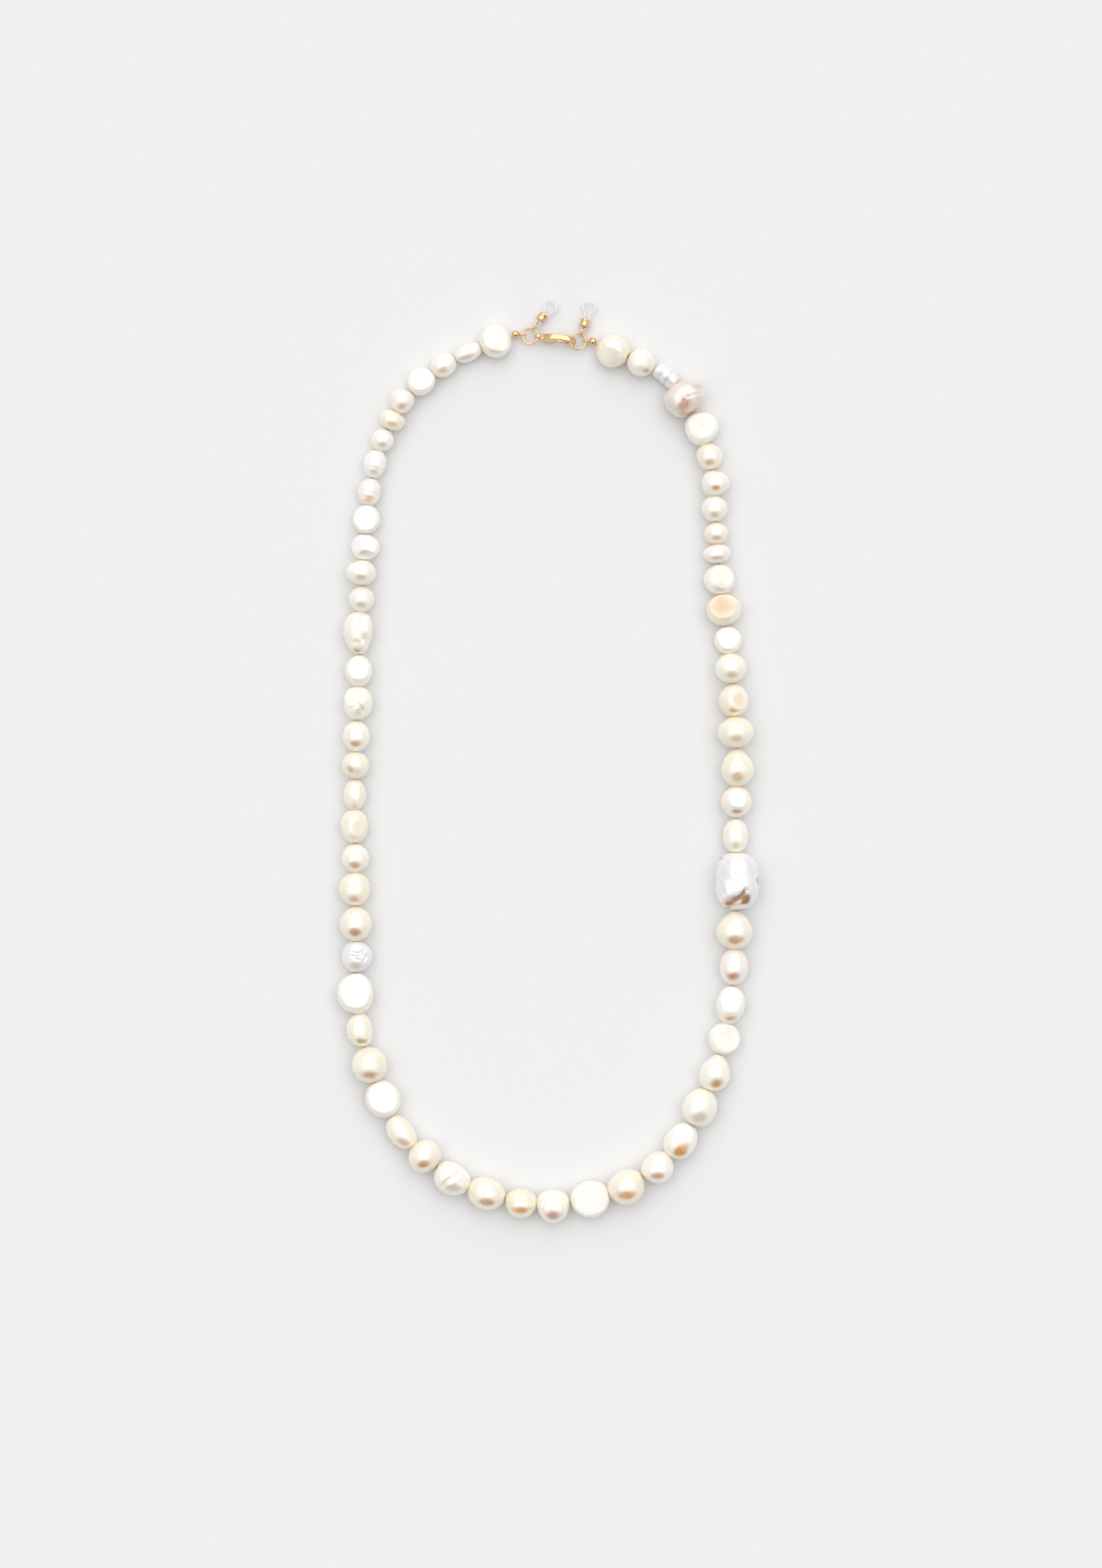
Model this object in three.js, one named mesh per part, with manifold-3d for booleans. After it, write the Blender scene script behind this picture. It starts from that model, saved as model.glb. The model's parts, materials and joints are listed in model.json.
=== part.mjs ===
// A single-strand necklace of unmatched freshwater pearls, laid flat in a loop, with a gold lobster
// clasp and two clear silicone loops that can hold the arms of a pair of glasses.
// Millimetres, +Z up. The necklace lies on z = 0 with its clasp at +Y.

import * as THREE from 'three';
import { mergeVertices } from 'three/addons/utils/BufferGeometryUtils.js';
import Module from 'manifold-3d';

const wasm = await Module();
wasm.setup();

// ---------------------------------------------------------------- driving dimensions

// The thread's route, from the left end of the clasp, anticlockwise to its right end.
const ROUTE = [
  [-12, 139.5], [-35.5, 129], [-52, 110], [-58.5, 85], [-60.5, 59], [-61.5, 33], [-62.5, 7],
  [-63, -18.5], [-62.5, -44.5], [-62.5, -70.5], [-59, -96], [-48.5, -119.5], [-29, -137],
  [-4.5, -144], [21, -140.5], [42, -126], [54, -103], [60, -78], [61.5, -52], [61.5, -26],
  [62, 0], [60.5, 26], [57.5, 51.5], [55, 77.5], [52, 103], [39, 125], [16.5, 137],
];

// Every pearl in stringing order: length along the thread, width across it, how far the body sits
// towards the outside of the loop, and its kind.
const PEARLS = [
  [10.5, 11, 0, 'disc'], [9.25, 6, 0, 'rice'], [8.75, 7.75, 0, 'round'], [9.5, 9, 0.5, 'button'],
  [8, 8, 1, 'baroque'], [6.5, 8.5, 0, 'baroque'], [7.5, 7.5, 0, 'round'], [9.25, 7.5, 0.25, 'rice'],
  [9, 7.75, 0.25, 'rice'], [9.5, 9, 0, 'button'], [8.5, 9.5, -0.5, 'baroque'], [8.5, 10, 0.5, 'round'],
  [8.5, 8.5, 0, 'round'], [14, 10, 0.75, 'tail'], [10.5, 9, 0, 'round'], [11, 9.75, 0, 'baroque'],
  [10.25, 9, 0, 'round'], [9, 9, 0, 'round'], [10, 7.5, 0, 'rice'], [11, 9.5, 0.25, 'baroque'],
  [9.5, 9, 0, 'round'], [11, 10.25, 0.5, 'button'], [11.5, 10.5, 0, 'round'], [10.25, 10, -0.5, 'button'],
  [13.5, 12, 0.75, 'disc'], [11, 8.75, 0.75, 'rice'], [12, 11.75, 0, 'round'], [12.5, 11.5, 0, 'button'],
  [12, 8.5, 0.75, 'rice'], [10.25, 11.25, 0, 'round'], [12.5, 10.5, 0.75, 'baroque'],
  [12.5, 10.75, 0.25, 'rice'], [10.5, 9.75, 0.75, 'round'], [11, 11, 1.25, 'button'],
  [13, 12.25, 0.5, 'disc'], [12.5, 11.5, 0.75, 'round'], [11, 10.25, 1, 'round'],
  [12.5, 10.5, 0.25, 'baroque'], [12.5, 11.25, 0, 'baroque'], [12.25, 10.5, 0.5, 'drop'],
  [10.5, 10.5, 0.25, 'disc'], [12.5, 9.5, 0.25, 'round'], [12, 9.5, 0, 'rice'],
  [12.5, 12, -0.25, 'drop'], [19, 14.75, 0.5, 'great'], [11.25, 8.5, 0, 'rice'], [10.5, 10, 0, 'round'],
  [12.25, 11, 0.25, 'drop'], [10.5, 12, 0, 'round'], [10.75, 10, 0, 'round'], [10, 10.25, 0, 'round'],
  [9, 9.25, 0.25, 'disc'], [10.5, 11.5, 0, 'button'], [10, 10.25, -0.5, 'disc'],
  [6.5, 9.25, -0.5, 'button'], [7.25, 8, 0, 'round'], [8.5, 8.5, 0, 'rice'], [8.5, 9.25, 1, 'round'],
  [8.75, 8.75, 0.5, 'rice'], [10.75, 11.25, 1.25, 'disc'], [11, 13.25, 1, 'great'],
  [8.5, 6.25, 1.5, 'stem'], [9.25, 9.25, 0.25, 'round'], [11, 11.25, -0.25, 'button'],
];

// Outline of each kind as [place along the thread from -1 to 1, share of the half width], and its
// height as a share of its width. The two middle points make the belly that it can rest on.
const KINDS = {
  round: { height: 0.94, outline: [[-0.84, 0.6], [-0.3, 1], [0.3, 1], [0.84, 0.6]] },
  button: { height: 0.8, outline: [[-0.86, 0.56], [-0.32, 1], [0.32, 1], [0.86, 0.56]] },
  disc: { height: 0.72, outline: [[-0.88, 0.52], [-0.36, 1], [0.36, 1], [0.88, 0.52]] },
  rice: { height: 0.92, outline: [[-0.82, 0.62], [-0.34, 1], [0.34, 1], [0.82, 0.62]] },
  baroque: { height: 0.86, outline: [[-0.8, 0.72], [-0.34, 1], [0.3, 0.96], [0.8, 0.55]] },
  drop: { height: 0.88, outline: [[-0.8, 0.72], [-0.4, 1], [0.15, 0.98], [0.72, 0.46]] },
  tail: { height: 0.84, outline: [[-0.84, 0.6], [-0.42, 1], [0.36, 0.98], [0.8, 0.42]] },
  great: { height: 0.8, outline: [[-0.82, 0.6], [-0.44, 1], [0.4, 1], [0.84, 0.58]] },
  stem: { height: 0.92, outline: [[-0.76, 0.7], [-0.3, 1], [0.3, 0.92], [0.76, 0.74]] },
};

// Links whose two pearls are separate nodes. The two pearls of every other link share one node.
const OPEN_LINKS = [0, 6, 12, 16, 17, 19, 21, 22, 23, 26, 29, 30, 31];

const PEARLS_PER_LINK = 2;
const BORE_RADIUS = 0.5;
const RIM_RADIUS = 0.75;
const PEARL_GAP = 0.3;
const OPEN_GAP = 0.6;
const OPEN_JUNCTION = 32;
const BELLY_FLAT = 0.3;
const WIDE_PEARL = 10.6;
const END_HEIGHT = 2.6;

const THREAD_RADIUS = 0.2;
const THREAD_SIDES = 6;
const KNOT_RADIUS = 0.55;

const COVER_RADIUS = 1.25;
const COVER_WALL = 0.35;
const COVER_STANDOFF = 1.75;
const COVER_HEIGHT = 1.9;
const COVER_LOOP_RADIUS = 0.95;
const COVER_LOOP_WIRE = 0.25;

const RING_RADIUS = 2.6;
const RING_WIRE = 0.35;

const EYE_RADIUS = 1.35;
const EYE_HOLE = 0.75;
const EYE_THICKNESS = 1;
const CLASP_THICKNESS = 2;
const CLASP_HEADING = THREE.MathUtils.degToRad(-7);
const CLASP_LEAN = THREE.MathUtils.degToRad(15);
const CLASP_EYE = new THREE.Vector3(-2.95, 139.1, 3);
const HOOK_REST = new THREE.Vector2(10.5, 0);
const SLOT = { left: 1.9, right: 5.45, top: 0.2, bottom: -3.4, width: 1.1 };
const LEVER_PIVOT = new THREE.Vector2(3.6, -0.9);
const LEVER_THICKNESS = 0.7;
const LEVER_HOLE = 0.42;
const PIN_RADIUS = 0.28;
const PIN_LENGTH = 2.5;
const SPRING_THICKNESS = 0.55;

const TIE_RADIUS = 1.5;
const TIE_WIRE = 0.25;
const TIE_REACH = 0.7;
const SILICONE_RADIUS = 0.4;
const HOLDER = { length: 9.8, leg: 0.75, neck: 5.7, belly: 2.15, start: 0.45 };
const HOLDER_DROP = THREE.MathUtils.degToRad(4);
const CINCH = { inner: 1.3, outer: 1.6, length: 2.4 };
const LEFT_HOLDER = { ringAngle: 68, heading: 52, cinchAt: 3.5 };
const RIGHT_HOLDER = { ringAngle: 62, heading: 74, cinchAt: 2.6 };

const UP = new THREE.Vector3(0, 0, 1);

// ---------------------------------------------------------------- materials

const MATERIALS = {
  nacre: new THREE.MeshStandardMaterial({ color: 0xefe3d2, roughness: 0.25, metalness: 0.05 }),
  gold: new THREE.MeshStandardMaterial({ color: 0xd9a15a, roughness: 0.22, metalness: 1 }),
  silicone: new THREE.MeshStandardMaterial({ color: 0xe6e7e4, roughness: 0.35, metalness: 0 }),
  silk: new THREE.MeshStandardMaterial({ color: 0xf2eee4, roughness: 0.8, metalness: 0 }),
  spring: new THREE.MeshStandardMaterial({ color: 0xb9bcc0, roughness: 0.3, metalness: 1 }),
};

const group = new THREE.Group();
group.name = 'pearl_necklace';

function addMesh(name, geometry, material, parent = group) {
  const mesh = new THREE.Mesh(geometry, MATERIALS[material]);
  mesh.name = name;
  parent.add(mesh);
  return mesh;
}

// ---------------------------------------------------------------- solids

function toManifold(geometry) {
  const bare = new THREE.BufferGeometry();
  bare.setAttribute('position', geometry.getAttribute('position').clone());
  if (geometry.index) bare.setIndex(geometry.index.clone());
  const welded = mergeVertices(bare, 1e-4);
  const corners = welded.index.array;
  const solid = [];
  for (let i = 0; i < corners.length; i += 3) {
    const [a, b, c] = [corners[i], corners[i + 1], corners[i + 2]];
    if (a !== b && b !== c && c !== a) solid.push(a, b, c);
  }
  return new wasm.Manifold(new wasm.Mesh({
    numProp: 3,
    vertProperties: Float32Array.from(welded.getAttribute('position').array),
    triVerts: Uint32Array.from(solid),
  }));
}

function toGeometry(manifold) {
  const mesh = manifold.getMesh();
  const geometry = new THREE.BufferGeometry();
  geometry.setAttribute('position', new THREE.BufferAttribute(mesh.vertProperties, 3));
  geometry.setIndex(new THREE.BufferAttribute(mesh.triVerts, 1));
  geometry.computeVertexNormals();
  return geometry;
}

function joined(...geometries) {
  return toGeometry(geometries.map(toManifold).reduce((whole, piece) => whole.add(piece)));
}

function cut(geometry, ...tools) {
  const start = toManifold(geometry);
  return toGeometry(tools.map(toManifold).reduce((whole, tool) => whole.subtract(tool), start));
}

function plate(outline, thickness, curveSegments = 4) {
  const settings = { depth: thickness, bevelEnabled: false, curveSegments };
  return new THREE.ExtrudeGeometry(outline, settings).translate(0, 0, -thickness / 2);
}

function torus(radius, wire, sides = 6, turns = 20) {
  return new THREE.TorusGeometry(radius, wire, sides, turns);
}

// ---------------------------------------------------------------- layout of the strand

function layStrand() {
  const route = new THREE.CatmullRomCurve3(
    ROUTE.map(([x, y]) => new THREE.Vector3(x, y, 0)), false, 'catmullrom', 0.5);
  route.arcLengthDivisions = 2000;
  const total = PEARLS.reduce((sum, [length]) => sum + length, 0);
  const heights = PEARLS.map(([, width, , kind]) => width * KINDS[kind].height);
  const junctions = [];
  let walked = 0;
  for (let i = 0; i <= PEARLS.length; i += 1) {
    const point = route.getPointAt(Math.min(walked / total, 1));
    const before = heights[i - 1];
    const after = heights[i];
    point.z = before && after ? (before + after) / 4 : END_HEIGHT;
    junctions.push(point);
    walked += PEARLS[i] ? PEARLS[i][0] : 0;
  }
  return junctions;
}

const junctions = layStrand();

// ---------------------------------------------------------------- pearls

// Where one pearl's bore runs, and what its body is like round it.
function pearlBody(index, gapBefore, gapAfter) {
  const [, width, side, kind] = PEARLS[index];
  const axis = junctions[index + 1].clone().sub(junctions[index]).normalize();
  const outward = axis.clone().cross(UP).normalize();
  const from = junctions[index].clone().addScaledVector(axis, gapBefore);
  const to = junctions[index + 1].clone().addScaledVector(axis, -gapAfter);
  const frame = new THREE.Matrix4().makeBasis(outward, axis, outward.clone().cross(axis)).setPosition(from);
  return { frame, length: from.distanceTo(to), radius: width / 2, side, ...KINDS[kind] };
}

// A point of the turned shape, swelled, flattened and shifted off the bore.
function placeOnPearl(body, x, along, z) {
  const share = THREE.MathUtils.clamp((Math.hypot(x, z) - RIM_RADIUS) / (body.radius - RIM_RADIUS), 0, 1);
  const place = new THREE.Vector3(x + body.side * share, along, z * (1 + (body.height - 1) * share));
  return { place: place.applyMatrix4(body.frame), share };
}

// One drilled pearl, or two neighbours whose bores are one. It is turned on a straight bore, and then
// each pearl's points go to its own place on the thread.
function beadGeometry(indices, gapBefore, gapAfter) {
  const last = indices.length - 1;
  const bodies = indices.map((index, i) => (
    pearlBody(index, i === 0 ? gapBefore : 0, i === last ? gapAfter : 0)
  ));
  const starts = bodies.map((_, i) => bodies.slice(0, i).reduce((sum, body) => sum + body.length, 0));
  const ends = bodies.map((body, i) => starts[i] + body.length);
  const sides = bodies.some((body) => 2 * body.radius > WIDE_PEARL) ? 10 : 8;

  const profile = [new THREE.Vector2(RIM_RADIUS, 0)];
  bodies.forEach(({ outline, radius, length }, i) => {
    outline.forEach(([along, share]) => {
      profile.push(new THREE.Vector2(radius * share, starts[i] + (length * (1 + along)) / 2));
    });
    profile.push(new THREE.Vector2(RIM_RADIUS, ends[i]));
  });
  [...ends].reverse().forEach((end) => profile.push(new THREE.Vector2(BORE_RADIUS, end)));
  profile.push(new THREE.Vector2(BORE_RADIUS, 0), profile[0].clone());

  // The turning starts at a corner, so half a step more brings a flat side underneath.
  const geometry = new THREE.LatheGeometry(profile, sides, Math.PI / sides);
  const points = geometry.getAttribute('position');
  const placed = [];
  for (let i = 0; i < points.count; i += 1) {
    const along = points.getY(i);
    // A point on the neck between two pearls lies halfway between where each would put it.
    const owners = bodies.map((_, k) => k).filter((k) => along > starts[k] - 1e-6 && along < ends[k] + 1e-6);
    const places = owners.map((k) => (
      placeOnPearl(bodies[k], points.getX(i), along - starts[k], points.getZ(i))
    ));
    const place = places.reduce((sum, each) => sum.add(each.place), new THREE.Vector3());
    placed.push({ place: place.divideScalar(places.length), share: places[0].share, owner: owners[0] });
  }
  // Each body moves off its bore until its belly sits on the ground, where it is flat.
  const drops = bodies.map((_, k) => (
    Math.min(...placed.filter(({ owner }) => owner === k).map(({ place }) => place.z)) + BELLY_FLAT
  ));
  placed.forEach(({ place, share, owner }, i) => {
    points.setXYZ(i, place.x, place.y, Math.max(place.z - drops[owner] * share, 0));
  });
  return geometry;
}

function gapAt(junction) {
  return (junction === OPEN_JUNCTION ? OPEN_GAP : PEARL_GAP) / 2;
}

function twoDigits(number) {
  return String(number).padStart(2, '0');
}

function addPearls() {
  for (let first = 0; first < PEARLS.length; first += PEARLS_PER_LINK) {
    const second = first + 1;
    const [before, between, after] = [first, second, second + 1].map(gapAt);
    if (OPEN_LINKS.includes(first / PEARLS_PER_LINK)) {
      addMesh(`pearl_${twoDigits(first + 1)}`, beadGeometry([first], before, between), 'nacre');
      addMesh(`pearl_${twoDigits(second + 1)}`, beadGeometry([second], between, after), 'nacre');
    } else {
      const name = `pearls_${twoDigits(first + 1)}_${twoDigits(second + 1)}`;
      addMesh(name, beadGeometry([first, second], before, after), 'nacre');
    }
  }
}

// ---------------------------------------------------------------- knot covers and thread

// Each end of the strand: where its pearl stops, and the level direction onwards to the clasp.
function strandEnd(tip, inner) {
  const onwards = tip.clone().sub(inner).setZ(0).normalize();
  const ball = tip.clone().addScaledVector(onwards, COVER_STANDOFF).setZ(COVER_HEIGHT);
  return { tip, onwards, ball };
}

const leftEnd = strandEnd(junctions[0], junctions[1]);
const rightEnd = strandEnd(junctions[PEARLS.length], junctions[PEARLS.length - 1]);

class ThreadCurve extends THREE.Curve {
  constructor(points) {
    super();
    this.points = points;
  }

  getPoint(t, target = new THREE.Vector3()) {
    const place = t * (this.points.length - 1);
    const stretch = Math.min(Math.floor(place), this.points.length - 2);
    return target.lerpVectors(this.points[stretch], this.points[stretch + 1], place - stretch);
  }

  // Equal steps of t land on the junctions, so the thread turns only between pearls.
  getPointAt(t, target) {
    return this.getPoint(t, target);
  }

  getTangentAt(t, target) {
    return this.getTangent(t, target);
  }
}

function addThread() {
  const points = [leftEnd.ball, ...junctions, rightEnd.ball];
  const round = new THREE.Shape();
  for (let i = 0; i < THREAD_SIDES; i += 1) {
    const angle = (i / THREAD_SIDES) * 2 * Math.PI;
    const corner = [THREAD_RADIUS * Math.cos(angle), THREAD_RADIUS * Math.sin(angle)];
    if (i === 0) round.moveTo(...corner);
    else round.lineTo(...corner);
  }
  const cord = new THREE.ExtrudeGeometry(round, {
    steps: points.length - 1,
    extrudePath: new ThreadCurve(points),
    curveSegments: 1,
  });
  const knots = [leftEnd.ball, rightEnd.ball].map((ball) => (
    new THREE.SphereGeometry(KNOT_RADIUS, 8, 6).translate(ball.x, ball.y, ball.z)
  ));
  addMesh('thread', joined(cord, ...knots), 'silk');
}

// A hollow ball with a hole towards the pearl and a wire loop towards the clasp.
function addCover(name, end, loopCentre) {
  const inner = COVER_RADIUS - COVER_WALL;
  const half = Math.asin(BORE_RADIUS / COVER_RADIUS);
  const innerHalf = Math.asin(BORE_RADIUS / inner);
  const profile = [];
  const steps = 7;
  for (let i = steps; i >= 0; i -= 1) {
    const angle = half + (i / steps) * (Math.PI - half);
    profile.push(new THREE.Vector2(COVER_RADIUS * Math.sin(angle), COVER_RADIUS * Math.cos(angle)));
  }
  for (let i = 0; i <= steps; i += 1) {
    const angle = innerHalf + (i / steps) * (Math.PI - innerHalf);
    profile.push(new THREE.Vector2(inner * Math.sin(angle), inner * Math.cos(angle)));
  }
  profile[0].x = 0;
  profile[profile.length - 1].x = 0;
  const ball = new THREE.LatheGeometry(profile, 10);
  const towardsPearl = end.tip.clone().sub(end.ball).normalize();
  ball.applyQuaternion(new THREE.Quaternion().setFromUnitVectors(new THREE.Vector3(0, 1, 0), towardsPearl));
  ball.translate(end.ball.x, end.ball.y, end.ball.z);

  const loop = torus(COVER_LOOP_RADIUS, COVER_LOOP_WIRE, 6, 14);
  const along = loopCentre.clone().sub(end.ball).setZ(0).normalize();
  loop.applyMatrix4(new THREE.Matrix4().makeBasis(along, UP, along.clone().cross(UP)));
  loop.translate(loopCentre.x, loopCentre.y, loopCentre.z);
  const cavity = new THREE.SphereGeometry(inner, 10, 8).translate(end.ball.x, end.ball.y, end.ball.z);
  const openLoop = cut(loop, cavity);
  addMesh(name, joined(ball, openLoop), 'gold');
}

// ---------------------------------------------------------------- clasp

const claspFrame = new THREE.Matrix4().makeRotationZ(CLASP_HEADING)
  .multiply(new THREE.Matrix4().makeRotationX(Math.PI / 2 - CLASP_LEAN))
  .setPosition(CLASP_EYE);

const hookRest = new THREE.Vector3(HOOK_REST.x, HOOK_REST.y, 0).applyMatrix4(claspFrame);

function claspBody() {
  const eye = new THREE.Shape().absarc(0, 0, EYE_RADIUS, 0, 2 * Math.PI);
  const eyeHole = plate(new THREE.Shape().absarc(0, 0, EYE_HOLE, 0, 2 * Math.PI), 2 * EYE_THICKNESS, 6);
  const outline = new THREE.Shape();
  outline.moveTo(1, -0.7);
  outline.lineTo(1, 0.7);
  outline.bezierCurveTo(2.6, 1.1, 3.6, 2.5, 6.4, 2.5);
  outline.bezierCurveTo(9.6, 2.5, 12.4, 1.8, 12.4, -0.2);
  outline.bezierCurveTo(12.4, -1.4, 11.9, -2.1, 11.1, -2.3);
  outline.lineTo(10.5, -1.5);
  outline.bezierCurveTo(11.2, -1.2, 11.5, -0.7, 11.5, -0.1);
  outline.bezierCurveTo(11.5, 1, 9.4, 1.5, 6.9, 1.5);
  outline.bezierCurveTo(5.9, 1.5, 5.5, 1, 5.4, 0.2);
  outline.lineTo(5.1, -1.7);
  outline.lineTo(4, -2.2);
  outline.lineTo(2.2, -1.6);
  const slot = new THREE.BoxGeometry(SLOT.right - SLOT.left, SLOT.top - SLOT.bottom, SLOT.width);
  slot.translate((SLOT.left + SLOT.right) / 2, (SLOT.top + SLOT.bottom) / 2, 0);
  const pinHole = new THREE.CylinderGeometry(LEVER_HOLE, LEVER_HOLE, 2 * CLASP_THICKNESS, 10);
  pinHole.rotateX(Math.PI / 2).translate(LEVER_PIVOT.x, LEVER_PIVOT.y, 0);
  const whole = joined(plate(eye, EYE_THICKNESS, 8), plate(outline, CLASP_THICKNESS));
  return cut(whole, eyeHole, slot, pinHole);
}

function leverGeometry() {
  const outline = new THREE.Shape();
  outline.moveTo(4.3, -0.95);
  outline.absarc(LEVER_PIVOT.x, LEVER_PIVOT.y, 0.75, 0, Math.PI, false);
  outline.lineTo(2.3, -2.6);
  outline.lineTo(2.75, -2.95);
  outline.lineTo(3.9, -1.75);
  outline.lineTo(6, -2.05);
  outline.lineTo(10.2, -2.3);
  outline.lineTo(10, -1.6);
  outline.lineTo(5.6, -1.05);
  outline.holes.push(new THREE.Path().absarc(LEVER_PIVOT.x, LEVER_PIVOT.y, LEVER_HOLE, 0, 2 * Math.PI, true));
  return plate(outline, LEVER_THICKNESS, 5);
}

function springGeometry() {
  const outline = new THREE.Shape();
  outline.moveTo(4.5, -0.14);
  outline.lineTo(5.25, 0.05);
  outline.lineTo(5.25, -0.08);
  outline.lineTo(4.8, -0.2);
  outline.lineTo(5.25, -0.5);
  outline.lineTo(5.25, -0.66);
  outline.lineTo(4.5, -0.26);
  return plate(outline, SPRING_THICKNESS);
}

function addClasp() {
  const clasp = new THREE.Group();
  clasp.applyMatrix4(claspFrame);
  group.add(clasp);
  addMesh('clasp_body', claspBody(), 'gold', clasp);
  addMesh('clasp_lever', leverGeometry(), 'gold', clasp);
  const pin = new THREE.CylinderGeometry(PIN_RADIUS, PIN_RADIUS, PIN_LENGTH, 10).rotateX(Math.PI / 2);
  pin.translate(LEVER_PIVOT.x, LEVER_PIVOT.y, 0);
  addMesh('clasp_pin', pin, 'gold', clasp);
  addMesh('clasp_spring', springGeometry(), 'spring', clasp);
}

// ---------------------------------------------------------------- jump rings

// A ring hangs between the loop of its knot cover and the clasp. Its wire passes through both.
function ringBetween(ball, claspSide) {
  const level = claspSide.clone().sub(ball).setZ(0).normalize();
  const centre = claspSide.clone().addScaledVector(level, -RING_RADIUS);
  const coverSide = centre.clone().addScaledVector(level, -RING_RADIUS).setZ(COVER_HEIGHT);
  centre.z = (claspSide.z + coverSide.z) / 2;
  const slope = claspSide.clone().sub(coverSide).normalize();
  const sideways = UP.clone().cross(slope).normalize();
  const frame = new THREE.Matrix4().makeBasis(slope, sideways, slope.clone().cross(sideways));
  frame.setPosition(centre);
  return { frame, centre, coverSide };
}

const leftRing = ringBetween(leftEnd.ball, CLASP_EYE);
const rightRing = ringBetween(rightEnd.ball, hookRest);

// The middle of the wire in a level direction from the ring's centre.
function placeOnRing(ring, angle) {
  const looking = new THREE.Vector3(Math.cos(angle), Math.sin(angle), 0);
  const inFrame = looking.transformDirection(ring.frame.clone().invert()).setZ(0).normalize();
  return inFrame.multiplyScalar(RING_RADIUS).applyMatrix4(ring.frame);
}

function addRing(name, ring) {
  addMesh(name, torus(RING_RADIUS, RING_WIRE).applyMatrix4(ring.frame), 'gold');
}

// ---------------------------------------------------------------- glasses holders

// Height of a quarter circle at a share of its radius in from the end.
function roundedEnd(share) {
  const within = THREE.MathUtils.clamp(share, 0, 1);
  return Math.sqrt(within * (2 - within));
}

// Half width of the silicone loop at a distance along it: a narrow neck that opens into a teardrop.
function holderOutline(turn) {
  const { length, leg, neck, belly } = HOLDER;
  const along = (length / 2) * (1 - Math.cos(turn));
  const opening = THREE.MathUtils.smoothstep(along, neck, length - belly);
  const side = Math.sign(Math.sin(turn)) || 1;
  const base = leg * roundedEnd(along / leg);
  const half = Math.min(base + (belly - leg) * opening, belly * roundedEnd((length - along) / belly));
  return new THREE.Vector2(along, side * half);
}

function holderGeometry() {
  const steps = 32;
  const sides = 6;
  const geometry = new THREE.TorusGeometry(1, SILICONE_RADIUS, sides, steps);
  const places = geometry.getAttribute('position');
  const point = new THREE.Vector3();
  const nudge = 1e-3;
  for (let i = 0; i < places.count; i += 1) {
    point.fromBufferAttribute(places, i);
    const turn = Math.atan2(point.y, point.x);
    const out = Math.hypot(point.x, point.y) - 1;
    const here = holderOutline(turn);
    const ahead = holderOutline(turn + nudge).sub(holderOutline(turn - nudge)).normalize();
    places.setXYZ(i, here.x + ahead.y * out, here.y - ahead.x * out, point.z);
  }
  return geometry;
}

function addHolder(side, ring, { ringAngle, heading, cinchAt }) {
  const towards = THREE.MathUtils.degToRad(heading);
  const direction = new THREE.Vector3(Math.cos(towards), Math.sin(towards), 0);
  const onRing = placeOnRing(ring, THREE.MathUtils.degToRad(ringAngle));
  const centre = onRing.clone().addScaledVector(direction, TIE_REACH);

  const tie = torus(TIE_RADIUS, TIE_WIRE, 6, 14);
  tie.applyMatrix4(new THREE.Matrix4().makeBasis(direction, UP, direction.clone().cross(UP)));
  addMesh(`tie_ring_${side}`, tie.translate(centre.x, centre.y, centre.z), 'gold');

  const frame = new THREE.Matrix4().makeRotationZ(towards)
    .multiply(new THREE.Matrix4().makeRotationY(HOLDER_DROP));
  frame.setPosition(centre.clone().addScaledVector(direction, HOLDER.start));
  addMesh(`silicone_holder_${side}`, holderGeometry().applyMatrix4(frame), 'silicone');

  const { inner, outer, length } = CINCH;
  const profile = [
    new THREE.Vector2(inner, -length / 2),
    new THREE.Vector2(outer, -length / 2),
    new THREE.Vector2(outer, length / 2),
    new THREE.Vector2(inner, length / 2),
    new THREE.Vector2(inner, -length / 2),
  ];
  const cinch = new THREE.LatheGeometry(profile, 16).rotateZ(-Math.PI / 2).translate(cinchAt, 0, 0);
  addMesh(`cinch_${side}`, toGeometry(toManifold(cinch.applyMatrix4(frame))), 'gold');
}

// ---------------------------------------------------------------- assembly

addPearls();
addThread();
addCover('knot_cover_left', leftEnd, leftRing.coverSide);
addCover('knot_cover_right', rightEnd, rightRing.coverSide);
addClasp();
addRing('jump_ring_left', leftRing);
addRing('jump_ring_right', rightRing);
addHolder('left', leftRing, LEFT_HOLDER);
addHolder('right', rightRing, RIGHT_HOLDER);

const bounds = new THREE.Box3().setFromObject(group, true);
const middle = bounds.getCenter(new THREE.Vector3());
group.position.set(-middle.x, -middle.y, -bounds.min.z);

export default group;
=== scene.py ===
"""A strand of 64 freshwater pearls with a gold lobster clasp and two silicone loops, on a pale table."""

import json
import math

import bpy
import numpy as np
from mathutils import Matrix, Vector


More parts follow.
